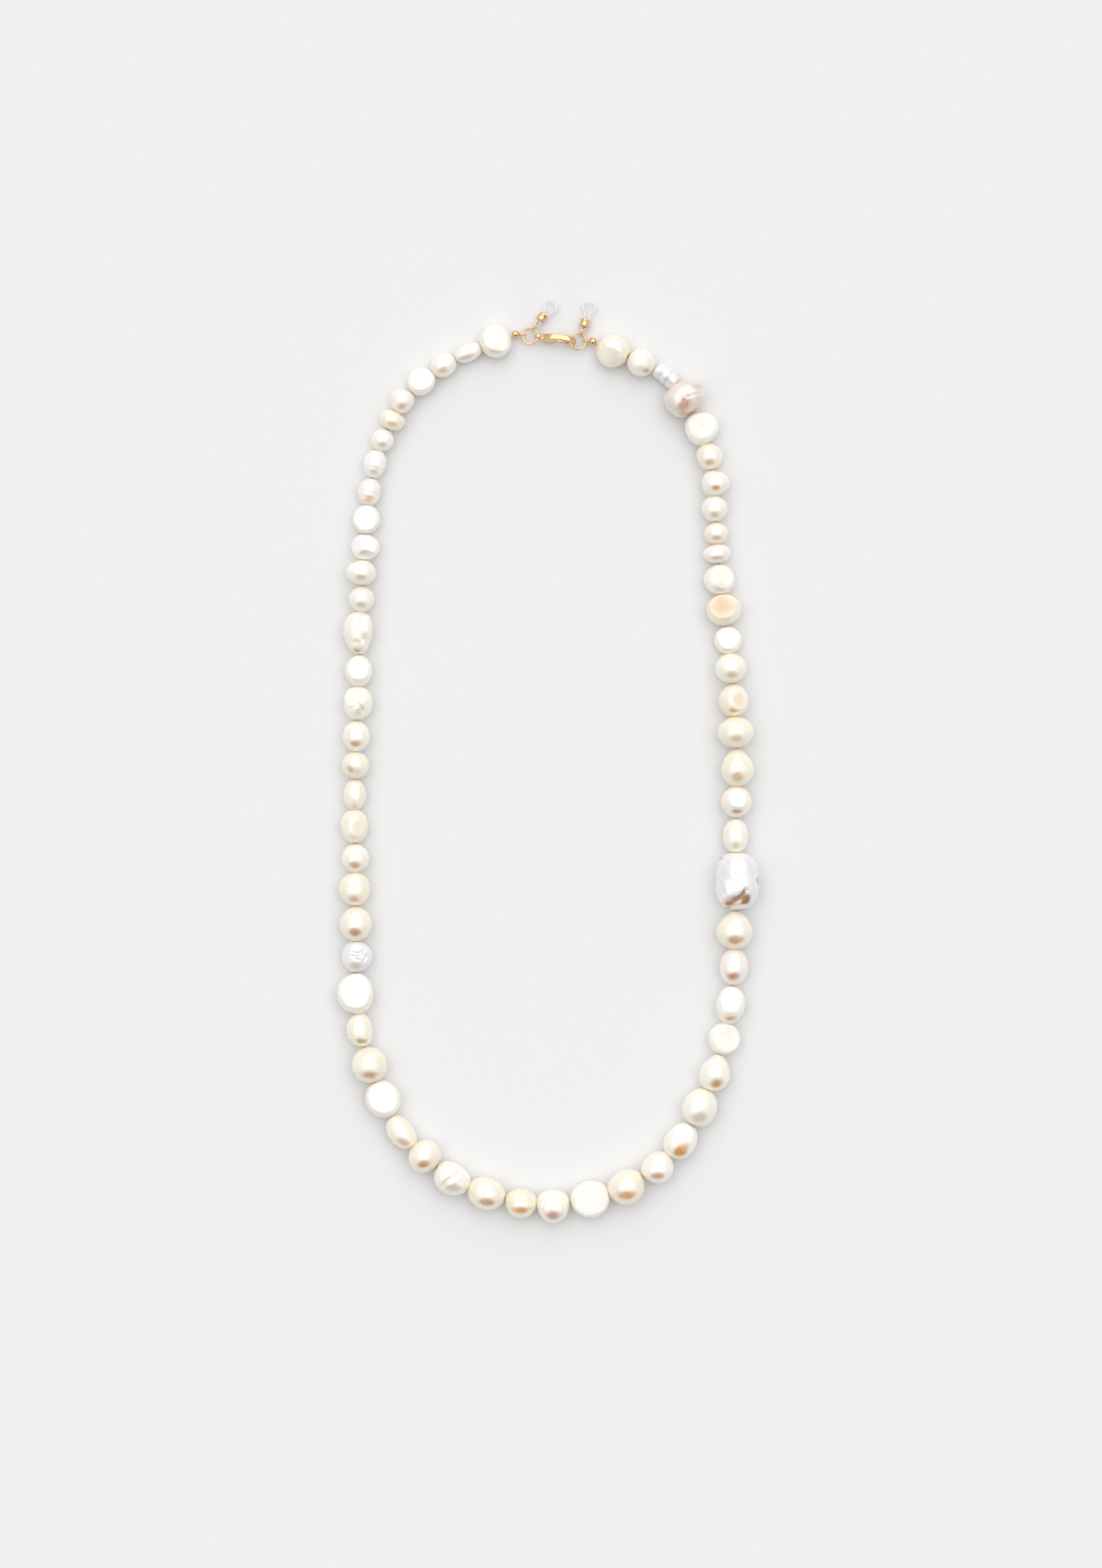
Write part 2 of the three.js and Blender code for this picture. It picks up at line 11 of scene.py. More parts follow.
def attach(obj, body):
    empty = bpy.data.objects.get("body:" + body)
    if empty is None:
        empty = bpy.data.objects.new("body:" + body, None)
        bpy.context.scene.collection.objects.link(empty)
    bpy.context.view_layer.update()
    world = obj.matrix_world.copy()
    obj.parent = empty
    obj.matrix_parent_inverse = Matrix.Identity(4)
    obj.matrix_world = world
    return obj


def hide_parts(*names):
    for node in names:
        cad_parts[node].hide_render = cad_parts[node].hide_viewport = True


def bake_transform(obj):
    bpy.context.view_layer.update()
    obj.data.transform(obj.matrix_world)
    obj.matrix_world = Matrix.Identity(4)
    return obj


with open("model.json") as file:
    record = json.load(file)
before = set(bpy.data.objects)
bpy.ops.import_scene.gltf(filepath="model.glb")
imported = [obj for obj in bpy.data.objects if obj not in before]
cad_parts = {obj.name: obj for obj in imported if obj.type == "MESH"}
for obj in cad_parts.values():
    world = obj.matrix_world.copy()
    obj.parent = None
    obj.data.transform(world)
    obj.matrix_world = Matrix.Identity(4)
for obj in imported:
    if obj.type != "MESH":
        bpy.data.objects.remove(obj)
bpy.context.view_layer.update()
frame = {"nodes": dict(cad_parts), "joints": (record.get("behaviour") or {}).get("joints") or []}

MM = 0.001
UP = Vector((0, 0, 1))

# ---------------------------------------------------------------- camera, table and light

TABLE_SIZE = 6.0
TABLE_WHITE = (0.8, 0.802, 0.808)
TENT_LOW, TENT_HIGH = 0.55, 0.75
BOX_LIGHT = 1.25
GAP_SHARE = 0.04
HORIZON = 0.7
# Windows of light and shade in the tent, each a low edge, a high edge and a softness. The box is given in
# slopes from overhead, and the gap in a slope from the front and a height.
BOX_ACROSS, BOX_ALONG = (-0.8, 0.8, 0.28), (-0.24, 3.5, 0.1)
GAP_ACROSS, GAP_RISE = (-0.75, 0.75, 0.2), (0.3, 0.92, 0.05)
SLOPE_FLOOR = 0.05
EXPOSURE = 0.89
CAMERA_HEIGHT = 1.45
CAMERA_CLIP = 0.05
AIM_HEIGHT = 5 * MM
CAMERA_AIM = (1.0 * MM, -7.4 * MM)
SEEN_LENGTH = 512 * MM
SENSOR = 36.0


def make_camera():
    camera = bpy.data.objects.new("camera", bpy.data.cameras.new("camera"))
    bpy.context.scene.collection.objects.link(camera)
    camera.data.sensor_width = SENSOR
    camera.data.lens = SENSOR * CAMERA_HEIGHT / SEEN_LENGTH
    camera.data.clip_start = CAMERA_CLIP
    camera.location = (*CAMERA_AIM, CAMERA_HEIGHT + AIM_HEIGHT)
    bpy.context.scene.camera = camera


def flat_card(name, width, depth, place, aim, material):
    """A rectangle at place that faces aim."""
    mesh = bpy.data.meshes.new(name)
    w, d = width / 2, depth / 2
    mesh.from_pydata([(-w, -d, 0), (w, -d, 0), (w, d, 0), (-w, d, 0)], [], [(0, 1, 2, 3)])
    card = bpy.data.objects.new(name, mesh)
    bpy.context.scene.collection.objects.link(card)
    card.location = place
    card.rotation_euler = (Vector(aim) - Vector(place)).to_track_quat("Z", "Y").to_euler()
    mesh.materials.append(material)
    return card


def plain(name, colour, roughness):
    material = bpy.data.materials.new(name)
    material.use_nodes = True
    shader = material.node_tree.nodes["Principled BSDF"]
    shader.inputs["Base Color"].default_value = (*colour, 1)
    shader.inputs["Roughness"].default_value = roughness
    return material


class Tree:
    """A small builder for the nodes of a material or of the world."""

    def __init__(self, tree):
        self.tree = tree

    def put(self, node, socket, value):
        target = node.inputs[socket]
        if isinstance(value, bpy.types.NodeSocket):
            self.tree.links.new(value, target)
        else:
            target.default_value = value

    def add(self, kind, out=0, **inputs):
        node = self.tree.nodes.new(kind)
        for name, value in inputs.items():
            self.put(node, name.replace("_", " "), value)
        return node.outputs[out]

    def math(self, operation, *values):
        node = self.tree.nodes.new("ShaderNodeMath")
        node.operation = operation
        for i, value in enumerate(values):
            self.put(node, i, value)
        return node.outputs[0]

    def span(self, factor, low, high, start=0.0, end=1.0, smooth=False):
        """factor from start to end, brought to low to high."""
        node = self.tree.nodes.new("ShaderNodeMapRange")
        node.interpolation_type = "SMOOTHSTEP" if smooth else "LINEAR"
        for name, value in (("From Min", start), ("From Max", end), ("To Min", low), ("To Max", high)):
            self.put(node, name, value)
        self.put(node, "Value", factor)
        return node.outputs["Result"]

    def window(self, value, low, high, soft):
        """1 where value is from low to high, with soft edges."""
        above = self.span(value, 0, 1, low - soft, low + soft, True)
        return self.math("MULTIPLY", above, self.span(value, 1, 0, high - soft, high + soft, True))


def make_sky():
    """A white tent: brightest in a box of light from overhead to the back, dimmer at the horizon, and dim in
    a gap in front."""
    scene = bpy.context.scene
    scene.world = scene.world or bpy.data.worlds.new("world")
    scene.world.use_nodes = True
    sky = Tree(scene.world.node_tree)
    way = sky.add("ShaderNodeTexCoord")
    split = sky.tree.nodes.new("ShaderNodeSeparateXYZ")
    sky.put(split, 0, way)
    x, y, z = split.outputs
    tent = sky.span(z, HORIZON, 1, TENT_LOW, TENT_HIGH)
    depth = sky.math("MAXIMUM", z, SLOPE_FLOOR)
    across = sky.window(sky.math("DIVIDE", x, depth), *BOX_ACROSS)
    along = sky.window(sky.math("DIVIDE", y, depth), *BOX_ALONG)
    box = sky.math("MULTIPLY", sky.math("MULTIPLY", across, along), BOX_LIGHT)
    side = sky.math("DIVIDE", x, sky.math("MAXIMUM", sky.math("MULTIPLY", y, -1), SLOPE_FLOOR))
    gap = sky.math("MULTIPLY", sky.window(side, *GAP_ACROSS), sky.window(z, *GAP_RISE))
    light = sky.math("ADD", sky.math("MULTIPLY", tent, sky.span(gap, 1, GAP_SHARE)), box)
    background = scene.world.node_tree.nodes["Background"]
    background.inputs["Color"].default_value = (1, 1, 1, 1)
    sky.put(background, "Strength", sky.math("MULTIPLY", light, EXPOSURE))


def make_studio():
    table = flat_card("table", TABLE_SIZE, TABLE_SIZE, (0, 0, 0), (0, 0, 1), plain("table", TABLE_WHITE, 0.9))
    make_sky()
    bpy.context.scene.view_settings.view_transform = "Standard"


make_camera()
make_studio()

# ---------------------------------------------------------------- the strand, as in the CAD model

ROUTE = [
    (-12, 139.5), (-35.5, 129), (-52, 110), (-58.5, 85), (-60.5, 59), (-61.5, 33), (-62.5, 7),
    (-63, -18.5), (-62.5, -44.5), (-62.5, -70.5), (-59, -96), (-48.5, -119.5), (-29, -137),
    (-4.5, -144), (21, -140.5), (42, -126), (54, -103), (60, -78), (61.5, -52), (61.5, -26),
    (62, 0), (60.5, 26), (57.5, 51.5), (55, 77.5), (52, 103), (39, 125), (16.5, 137),
]

# Length along the thread, width, shift to the outside, kind, colour, and the colour of the stains and painted
# dark reflection of every pearl.
PEARLS = [
    (10.5, 11, 0, "disc", "ivory", "grey"), (9.25, 6, 0, "rice", "pink", "mauve"),
    (8.75, 7.75, 0, "round", "ivory", "peach"), (9.5, 9, 0.5, "button", "ivory", "peach"),
    (8, 8, 1, "baroque", "pink", "mauve"), (6.5, 8.5, 0, "baroque", "peach", "peach"),
    (7.5, 7.5, 0, "round", "ivory", "grey"), (9.25, 7.5, 0.25, "rice", "white", "grey"),
    (9, 7.75, 0.25, "rice", "pink", "peach"), (9.5, 9, 0, "button", "ivory", "peach"),
    (8.5, 9.5, -0.5, "baroque", "white", "brown"), (8.5, 10, 0.5, "round", "ivory", "grey"),
    (8.5, 8.5, 0, "round", "ivory", "grey"), (14, 10, 0.75, "tail", "ivory", "brown"),
    (10.5, 9, 0, "round", "ivory", "grey"), (11, 9.75, 0, "baroque", "ivory", "olive"),
    (10.25, 9, 0, "round", "ivory", "brown"), (9, 9, 0, "round", "cream", "brown"),
    (10, 7.5, 0, "rice", "cream", "brown"), (11, 9.5, 0.25, "baroque", "cream", "grey"),
    (9.5, 9, 0, "round", "ivory", "brown"), (11, 10.25, 0.5, "button", "cream", "brown"),
    (11.5, 10.5, 0, "round", "cream", "brown"), (10.25, 10, -0.5, "button", "silver", "grey"),
    (13.5, 12, 0.75, "disc", "ivory", "grey"), (11, 8.75, 0.75, "rice", "cream", "olive"),
    (12, 11.75, 0, "round", "cream", "brown"), (12.5, 11.5, 0, "button", "ivory", "grey"),
    (12, 8.5, 0.75, "rice", "cream", "brown"), (10.25, 11.25, 0, "round", "cream", "brown"),
    (12.5, 10.5, 0.75, "baroque", "ivory", "grey"), (12.5, 10.75, 0.25, "rice", "cream", "brown"),
    (10.5, 9.75, 0.75, "round", "champagne", "amber"), (11, 11, 1.25, "button", "ivory", "mauve"),
    (13, 12.25, 0.5, "disc", "matte", "grey"), (12.5, 11.5, 0.75, "round", "cream", "amber"),
    (11, 10.25, 1, "round", "ivory", "brown"), (12.5, 10.5, 0.25, "baroque", "ivory", "amber"),
    (12.5, 11.25, 0, "baroque", "ivory", "grey"), (12.25, 10.5, 0.5, "drop", "ivory", "brown"),
    (10.5, 10.5, 0.25, "disc", "matte", "grey"), (12.5, 9.5, 0.25, "round", "white", "amber"),
    (12, 9.5, 0, "rice", "pink", "copper"), (12.5, 12, -0.25, "drop", "cream", "brown"),
    (19, 14.75, 0.5, "great", "silver", "umber"), (11.25, 8.5, 0, "rice", "ivory", "grey"),
    (10.5, 10, 0, "round", "mauve", "mauve"), (12.25, 11, 0.25, "drop", "cream", "brown"),
    (10.5, 12, 0, "round", "cream", "brown"), (10.75, 10, 0, "round", "peach", "amber"),
    (10, 10.25, 0, "round", "ivory", "brown"), (9, 9.25, 0.25, "disc", "ivory", "grey"),
    (10.5, 11.5, 0, "button", "cream", "amber"), (10, 10.25, -0.5, "disc", "ivory", "grey"),
    (6.5, 9.25, -0.5, "button", "pink", "mauve"), (7.25, 8, 0, "round", "cream", "brown"),
    (8.5, 8.5, 0, "rice", "ivory", "grey"), (8.5, 9.25, 1, "round", "ivory", "amber"),
    (8.75, 8.75, 0.5, "rice", "cream", "brown"), (10.75, 11.25, 1.25, "disc", "matte", "grey"),
    (11, 13.25, 1, "great", "dusky", "copper"), (8.5, 6.25, 1.5, "stem", "silver", "grey"),
    (9.25, 9.25, 0.25, "round", "ivory", "amber"), (11, 11.25, -0.25, "button", "cream", "grey"),
]
HEIGHT_SHARE = {"round": 0.94, "button": 0.8, "disc": 0.72, "rice": 0.92, "baroque": 0.86,
                "drop": 0.88, "tail": 0.84, "great": 0.8, "stem": 0.92}
BORE_RADIUS = 0.5
RIM_RADIUS = 0.75
OPEN_GAP, CLOSED_GAP = 0.26, 0.02
OPEN_SLOPE, CLOSED_SLOPE = 0.18, 0.03
CAP_RINGS = 4
END_HEIGHT = 2.6
COVER_HEIGHT = 1.9
COVER_STANDOFF = 1.75
LINKS = len(PEARLS) // 2
OPEN_JUNCTION = 32

JOINTS = {joint["name"]: joint for joint in frame["joints"]}


def joint_place(name):
    return Vector(JOINTS[name]["pos_m"])


def route_point(t):
    """A point of the uniform Catmull-Rom curve through ROUTE, at t from 0 to 1."""
    points = [np.array(p, float) for p in ROUTE]
    place = t * (len(points) - 1)
    i = min(int(place), len(points) - 2)
    u = place - i
    a, b = points[i], points[i + 1]
    before = points[i - 1] if i else 2 * a - b
    after = points[i + 2] if i + 2 < len(points) else 2 * b - a
    start, end = (b - before) / 2, (after - a) / 2
    return a + start * u + (3 * (b - a) - 2 * start - end) * u**2 + (2 * (a - b) + start + end) * u**3


def lay_strand():
    """Where the thread passes between the pearls, in the row frame, in metres."""
    samples = np.linspace(0, 1, 2001)
    points = np.array([route_point(t) for t in samples])
    walked = np.concatenate([[0], np.cumsum(np.linalg.norm(np.diff(points, axis=0), axis=1))])
    ends = np.concatenate([[0], np.cumsum([p[0] for p in PEARLS])])
    ends *= walked[-1] / ends[-1]
    heights = [p[1] * HEIGHT_SHARE[p[3]] for p in PEARLS]
    places = []
    for i, end in enumerate(ends):
        x, y = route_point(float(np.interp(end, walked, samples)))
        z = (heights[i - 1] + heights[i]) / 4 if 0 < i < len(PEARLS) else END_HEIGHT
        places.append(Vector((x, y, z)) * MM)
    shift = joint_place("strand_02_side") - places[2]
    return [place + shift for place in places]


JUNCTIONS = lay_strand()


def body_of_pearl(index):
    return f"strand_{index // 2 + 1:02d}"


def node_of_pearl(index):
    first = index - index % 2 + 1
    pair = f"pearls_{first:02d}_{first + 1:02d}"
    return pair if pair in frame["nodes"] else f"pearl_{index + 1:02d}"


# ---------------------------------------------------------------- materials


class Nodes(Tree):
    """The nodes of one new material with a Principled shader."""

    def __init__(self, name):
        self.material = bpy.data.materials.new(name)
        self.material.use_nodes = True
        super().__init__(self.material.node_tree)
        self.shader = self.tree.nodes["Principled BSDF"]

    def set(self, **values):
        for name, value in values.items():
            self.put(self.shader, name.replace("_", " "), value)

    def coordinates(self):
        return self.add("ShaderNodeTexCoord", "Object")

    def noise(self, scale, detail=3, seed=0.0, distortion=0.0):
        node = self.tree.nodes.new("ShaderNodeTexNoise")
        node.noise_dimensions = "4D"
        for name, value in (("Vector", self.coordinates()), ("Scale", scale), ("Detail", detail),
                            ("Distortion", distortion), ("W", seed)):
            self.put(node, name, value)
        return node.outputs["Fac"]

    def painted(self, name):
        """A share that the mesh holds for each of its points."""
        node = self.tree.nodes.new("ShaderNodeAttribute")
        node.attribute_name = name
        return node.outputs["Fac"]

    def ramp(self, factor, *stops):
        node = self.tree.nodes.new("ShaderNodeValToRGB")
        self.put(node, "Fac", factor)
        elements = node.color_ramp.elements
        while len(elements) < len(stops):
            elements.new(0.5)
        for element, (place, colour) in zip(elements, stops):
            element.position = place
            element.color = (*colour, 1)
        return node.outputs["Color"]

    def mix(self, factor, a, b):
        node = self.tree.nodes.new("ShaderNodeMix")
        node.data_type = "RGBA"
        for socket, value in ((0, factor), (6, a), (7, b)):
            self.put(node, socket, (*value, 1) if isinstance(value, tuple) else value)
        return node.outputs[2]

    def bump(self, height, strength, distance):
        node = self.tree.nodes.new("ShaderNodeBump")
        for name, value in (("Height", height), ("Strength", strength), ("Distance", distance)):
            self.put(node, name, value)
        self.put(self.shader, "Normal", node.outputs["Normal"])


NACRE_IOR, COAT_IOR = 1.7, 1.9
GLOW_DEPTH = 0.003
GLOW_COLOUR = (1.0, 0.88, 0.7)
DULL_ROUGHNESS, DULL_COAT = 0.6, 0.1
# How strongly the painted warm light shows: a painted glow by the drill holes and a painted warm reflection
# low on the sides.
PAINTED_WARM_LIGHT_STRENGTH = 0.75
RELIEF_HEIGHT = 0.0001


def nacre(name, body, tint, painted_warm_light, rough=(0.16, 0.26), shine=0.09, glow=0.4, relief=0.15):
    """Cloudy nacre. It drifts from body to tint, and turns to a painted warm light by the drill holes, a
    painted glow of light through the nacre, and low on the sides, a painted warm reflection. Where the mesh
    says so it takes the pearl's object colour, its stain colour, for its real stains and for a painted dark
    reflection under the highlight."""
    nodes = Nodes(name)
    info = nodes.tree.nodes.new("ShaderNodeObjectInfo")
    seed = nodes.math("MULTIPLY", info.outputs["Random"], 40)
    colour = nodes.ramp(nodes.noise(130, 2, seed, 0.6), (0.35, body), (0.7, tint))
    patchy = nodes.span(nodes.noise(260, 3, seed, 0.4), 0.55, 1.15, 0.25, 0.75)
    # Painted warm light: a painted glow by the drill holes and a painted warm reflection low on the sides.
    warm_light_share = nodes.math("MULTIPLY", nodes.painted("painted_warm_light"), nodes.math("MULTIPLY", patchy, PAINTED_WARM_LIGHT_STRENGTH))
    colour = nodes.mix(warm_light_share, colour, painted_warm_light)
    # Real stains and a painted dark reflection under the highlight take the object colour.
    stain_and_reflection_share = nodes.math("MULTIPLY", nodes.painted("stain_and_painted_reflection"), patchy)
    nodes.set(Base_Color=nodes.mix(stain_and_reflection_share, colour, info.outputs["Color"]))
    dull = nodes.painted("dull")
    fine = nodes.span(nodes.noise(420, 4, seed), *rough)
    nodes.set(Roughness=nodes.math("MAXIMUM", fine, nodes.math("MULTIPLY", dull, DULL_ROUGHNESS)))
    nodes.set(IOR=NACRE_IOR, Coat_IOR=COAT_IOR, Coat_Roughness=shine)
    nodes.set(Coat_Weight=nodes.span(dull, 1, DULL_COAT))
    nodes.set(Subsurface_Weight=glow, Subsurface_Scale=GLOW_DEPTH, Subsurface_Radius=GLOW_COLOUR)
    grain = nodes.math("MULTIPLY", nodes.noise(1300, 3, seed), nodes.span(dull, 0.15, 2.2))
    nodes.bump(nodes.math("ADD", nodes.noise(650, 4, seed), grain), relief, RELIEF_HEIGHT)
    return nodes.material


MATTE = {"rough": (0.5, 0.65), "shine": 0.4, "relief": 0.7}
# The third colour of each is the colour of its painted warm light, a painted glow and warm reflection.
NACRE = {
    "ivory": nacre("nacre_ivory", (0.92, 0.87, 0.76), (0.94, 0.91, 0.83), (0.98, 0.84, 0.66)),
    "white": nacre("nacre_white", (0.94, 0.92, 0.88), (0.93, 0.88, 0.81), (0.97, 0.91, 0.8)),
    "cream": nacre("nacre_cream", (0.92, 0.84, 0.69), (0.93, 0.88, 0.77), (0.97, 0.8, 0.58)),
    "pink": nacre("nacre_pink", (0.93, 0.87, 0.81), (0.93, 0.83, 0.76), (0.97, 0.81, 0.69)),
    "peach": nacre("nacre_peach", (0.93, 0.82, 0.67), (0.93, 0.86, 0.75), (0.97, 0.76, 0.54)),
    "champagne": nacre("nacre_champagne", (0.9, 0.83, 0.65), (0.93, 0.87, 0.74), (0.95, 0.85, 0.65)),
    "silver": nacre("nacre_silver", (0.76, 0.78, 0.81), (0.93, 0.85, 0.83), (0.94, 0.87, 0.78), glow=0.12),
    "mauve": nacre("nacre_mauve", (0.91, 0.84, 0.77), (0.93, 0.86, 0.78), (0.95, 0.82, 0.7)),
    "dusky": nacre("nacre_dusky", (0.76, 0.66, 0.6), (0.88, 0.8, 0.74), (0.85, 0.6, 0.44), glow=0.2),
    "matte": nacre("nacre_matte", (0.94, 0.92, 0.86), (0.9, 0.86, 0.77), (0.95, 0.84, 0.68), **MATTE),
}


def gold_material():
    nodes = Nodes("gold")
    wear = nodes.noise(900, 3)
    nodes.set(Base_Color=nodes.ramp(wear, (0.3, (0.86, 0.55, 0.27)), (0.8, (0.95, 0.68, 0.39))))
    nodes.set(Metallic=1.0, Roughness=nodes.span(nodes.noise(2500, 2), 0.1, 0.24))
    nodes.bump(nodes.noise(3000, 2), 0.05, 0.00004)
    return nodes.material


def steel_material():
    nodes = Nodes("spring_steel")
    nodes.set(Base_Color=nodes.ramp(nodes.noise(1500, 3), (0.3, (0.5, 0.5, 0.52)), (0.8, (0.68, 0.68, 0.7))))
    nodes.set(Metallic=1.0, Roughness=nodes.span(nodes.noise(4000, 2), 0.25, 0.4))
    return nodes.material


def silicone_material():
    nodes = Nodes("silicone")
    haze = nodes.noise(500, 3)
    nodes.set(Base_Color=nodes.ramp(haze, (0.3, (0.95, 0.95, 0.94)), (0.8, (0.99, 0.99, 0.98))))
    nodes.set(Roughness=nodes.span(haze, 0.25, 0.4), Transmission_Weight=0.6, IOR=1.25)
    return nodes.material


def silk_material():
    nodes = Nodes("silk")
    strands = nodes.add("ShaderNodeTexWave", "Fac", Vector=nodes.coordinates(), Scale=900.0, Distortion=2.0)
    nodes.set(Base_Color=nodes.ramp(strands, (0.1, (0.78, 0.74, 0.66)), (0.8, (0.92, 0.89, 0.83))))
    nodes.set(Roughness=0.85)
    nodes.bump(strands, 0.4, 0.00005)
    return nodes.material


GOLD = gold_material()
STEEL = steel_material()
SILICONE = silicone_material()
SILK = silk_material()

# ---------------------------------------------------------------- meshes


def add_piece(name, vertices, faces, material, matrix=None):
    mesh = bpy.data.meshes.new(name)
    mesh.from_pydata([tuple(v) for v in vertices], [], faces)
    mesh.polygons.foreach_set("use_smooth", [True] * len(mesh.polygons))
    mesh.materials.append(material)
    piece = bpy.data.objects.new(name, mesh)
    bpy.context.scene.collection.objects.link(piece)
    if matrix is not None:
        piece.matrix_world = matrix
    return piece


def grid_faces(rows, columns, closed):
    """Faces of a grid of points whose columns close on themselves, and its rows too where closed."""
    faces = []
    for i in range(rows if closed else rows - 1):
        for j in range(columns):
            a, b = i * columns + j, i * columns + (j + 1) % columns
            c, d = ((i + 1) % rows) * columns + (j + 1) % columns, ((i + 1) % rows) * columns + j
            faces.append((a, b, c, d))
    return faces


def revolved(name, profile, matrix, material, sides=40):
    """A closed profile of (radius, place along Y), in mm, turned about Y."""
    vertices = []
    for radius, along in profile:
        for j in range(sides):
            angle = 2 * math.pi * j / sides
            vertices.append(Vector((radius * math.cos(angle), along, radius * math.sin(angle))) * MM)
    faces = [face[::-1] for face in grid_faces(len(profile), sides, True)]
    return add_piece(name, vertices, faces, material, matrix)


# The small end ring of a bar's dome: its radius and how far out it lies, as shares of the bar's radius.
DOME_SHARE, DOME_REACH = 0.55, 0.35


def tube(name, points, radius, material, sides=14, closed=False):
    """A round bar through points in the row frame. Open ends are domed."""
    points = [Vector(p) for p in points]
    count = len(points)
    normal = None
    rings = []
    for i, point in enumerate(points):
        ahead = points[(i + 1) % count] if closed or i + 1 < count else point
        behind = points[i - 1] if closed or i else point
        tangent = (ahead - behind).normalized()
        if normal is None:
            normal = tangent.orthogonal().normalized()
            if abs(tangent.dot(UP)) < 0.9:
                normal = (UP - tangent * tangent.dot(UP)).normalized()
        normal = (normal - tangent * normal.dot(tangent)).normalized()
        rings.append((point, tangent, normal, 1.0, 0.0))
    if not closed:
        rings.insert(0, (*rings[0][:3], DOME_SHARE, -DOME_REACH))
        rings.append((*rings[-1][:3], DOME_SHARE, DOME_REACH))
    vertices = []
    for point, tangent, normal, share, push in rings:
        side = tangent.cross(normal)
        for j in range(sides):
            angle = 2 * math.pi * j / sides
            across = normal * math.cos(angle) + side * math.sin(angle)
            vertices.append(point + tangent * push * radius + across * radius * share)
    faces = grid_faces(len(rings), sides, closed)
    if not closed:
        faces.append(tuple(range(sides))[::-1])
        faces.append(tuple(range(len(vertices) - sides, len(vertices))))
    return add_piece(name, vertices, faces, material)


# ---------------------------------------------------------------- pearls

# For each kind: roundness of the outline, taper towards the far end, lumpiness, and how far the cone at each
# end reaches, as a share of the way from the bore's rim to the full radius.
FORM = {
    "round": (1.95, 0.0, 0.03, 0.17), "button": (1.98, 0.0, 0.03, 0.18), "disc": (2.0, 0.0, 0.02, 0.16),
    "rice": (2.0, 0.0, 0.035, 0.2), "baroque": (2.1, 0.1, 0.08, 0.2), "drop": (2.05, 0.34, 0.045, 0.17),
    "tail": (2.2, 0.3, 0.07, 0.18), "great": (2.45, 0.04, 0.06, 0.28), "stem": (2.6, 0.0, 0.1, 0.5),
}

# Flat faces, by pearl number: the way each looks and how far out it lies, as a share of the body.
FACES = {
    1: [((0.22, 0.2, 1), 0.62)], 4: [((0, 0.2, 1), 0.62)], 10: [((-0.05, 0.1, 1), 0.6)],
    11: [((0.3, 0.25, 1), 0.74), ((-0.5, 0.1, 1), 0.82), ((0.1, -0.6, 0.9), 0.85)], 15: [((0, 0.25, 1), 0.68)],
    16: [((-0.2, 0.55, 0.9), 0.72)], 20: [((0.32, -0.05, 1), 0.86)], 25: [((0.02, 0.2, 1), 0.6)],
    28: [((0.03, 0.1, 1), 0.6)], 35: [((0, 0.02, 1), 0.6)], 38: [((0.1, 0.4, 1), 0.82)],
    41: [((0.25, 0.05, 1), 0.62)], 42: [((0, 0.3, 1), 0.74)], 47: [((0.1, 0.3, 1), 0.84)],
    50: [((0.4, 0.05, 1), 0.82)], 52: [((0.05, 0.25, 1), 0.64)], 53: [((-0.1, 0.3, 1), 0.66)],
    54: [((0.25, 0.15, 1), 0.78)], 60: [((-0.03, 0.15, 1), 0.7)], 64: [((-0.3, -0.4, 1), 0.8)],
}
# Pearls whose flat faces are matt.
DULL_FACES = (16, 20, 35, 41, 50, 53, 54, 60)
# Rings round the middle of a face: the way they look, how far out each lies in radians, its width and height.
RINGS = {
    34: [((0, -0.1, 1), 0.5, 0.07, 0.045), ((0, -0.1, 1), 0.66, 0.07, -0.045)],
    54: [((0.25, 0.15, 1), 0.4, 0.06, -0.012)],
    60: [((-0.03, 0.15, 1), 0.22, 0.07, -0.03), ((-0.03, 0.15, 1), 0.5, 0.1, 0.035),
         ((-0.03, 0.15, 1), 0.75, 0.08, -0.03)],
}
# Grooves round the thread: place along it, depth and width.
BANDS = {
    8: [(-0.1, 0.03, 0.1), (0.35, 0.03, 0.08)], 9: [(-0.3, 0.04, 0.09), (0.1, 0.05, 0.08), (0.5, 0.03, 0.07)],
    62: [(-0.35, 0.12, 0.12), (0.3, 0.1, 0.12)],
}
# Turn of the body about the thread, in radians from the middle to the end.
TWISTS = {62: 1.9, 44: 0.35}
# Bumps, and dents where the height is negative: the way each looks, its height and its width.
DENTS = {
    3: [((0.7, 0.3, 0.6), 0.1, 0.2)], 6: [((0.9, 0.2, 0.4), 0.2, 0.14)], 14: [((0.5, 0.1, 0.8), 0.1, 0.15)],
    20: [((-0.7, 0.2, 0.6), -0.05, 0.3)], 24: [((0.1, 0.3, 0.9), -0.08, 0.08), ((0.5, -0.3, 0.8), -0.08, 0.1)],
    39: [((0.3, 0.3, 0.8), 0.06, 0.08), ((-0.4, -0.2, 0.8), 0.05, 0.08), ((0, -0.5, 0.8), -0.04, 0.05)],
    40: [((-0.1, -0.1, 0.9), 0.04, 0.03)], 45: [((0.6, 0.1, 0.7), 0.05, 0.2), ((-0.9, 0, 0.3), -0.04, 0.2)],
    61: [((0, -0.4, 0.8), -0.06, 0.1), ((0.5, 0.3, 0.8), 0.06, 0.2), ((-0.6, -0.3, 0.6), 0.06, 0.15)],
}
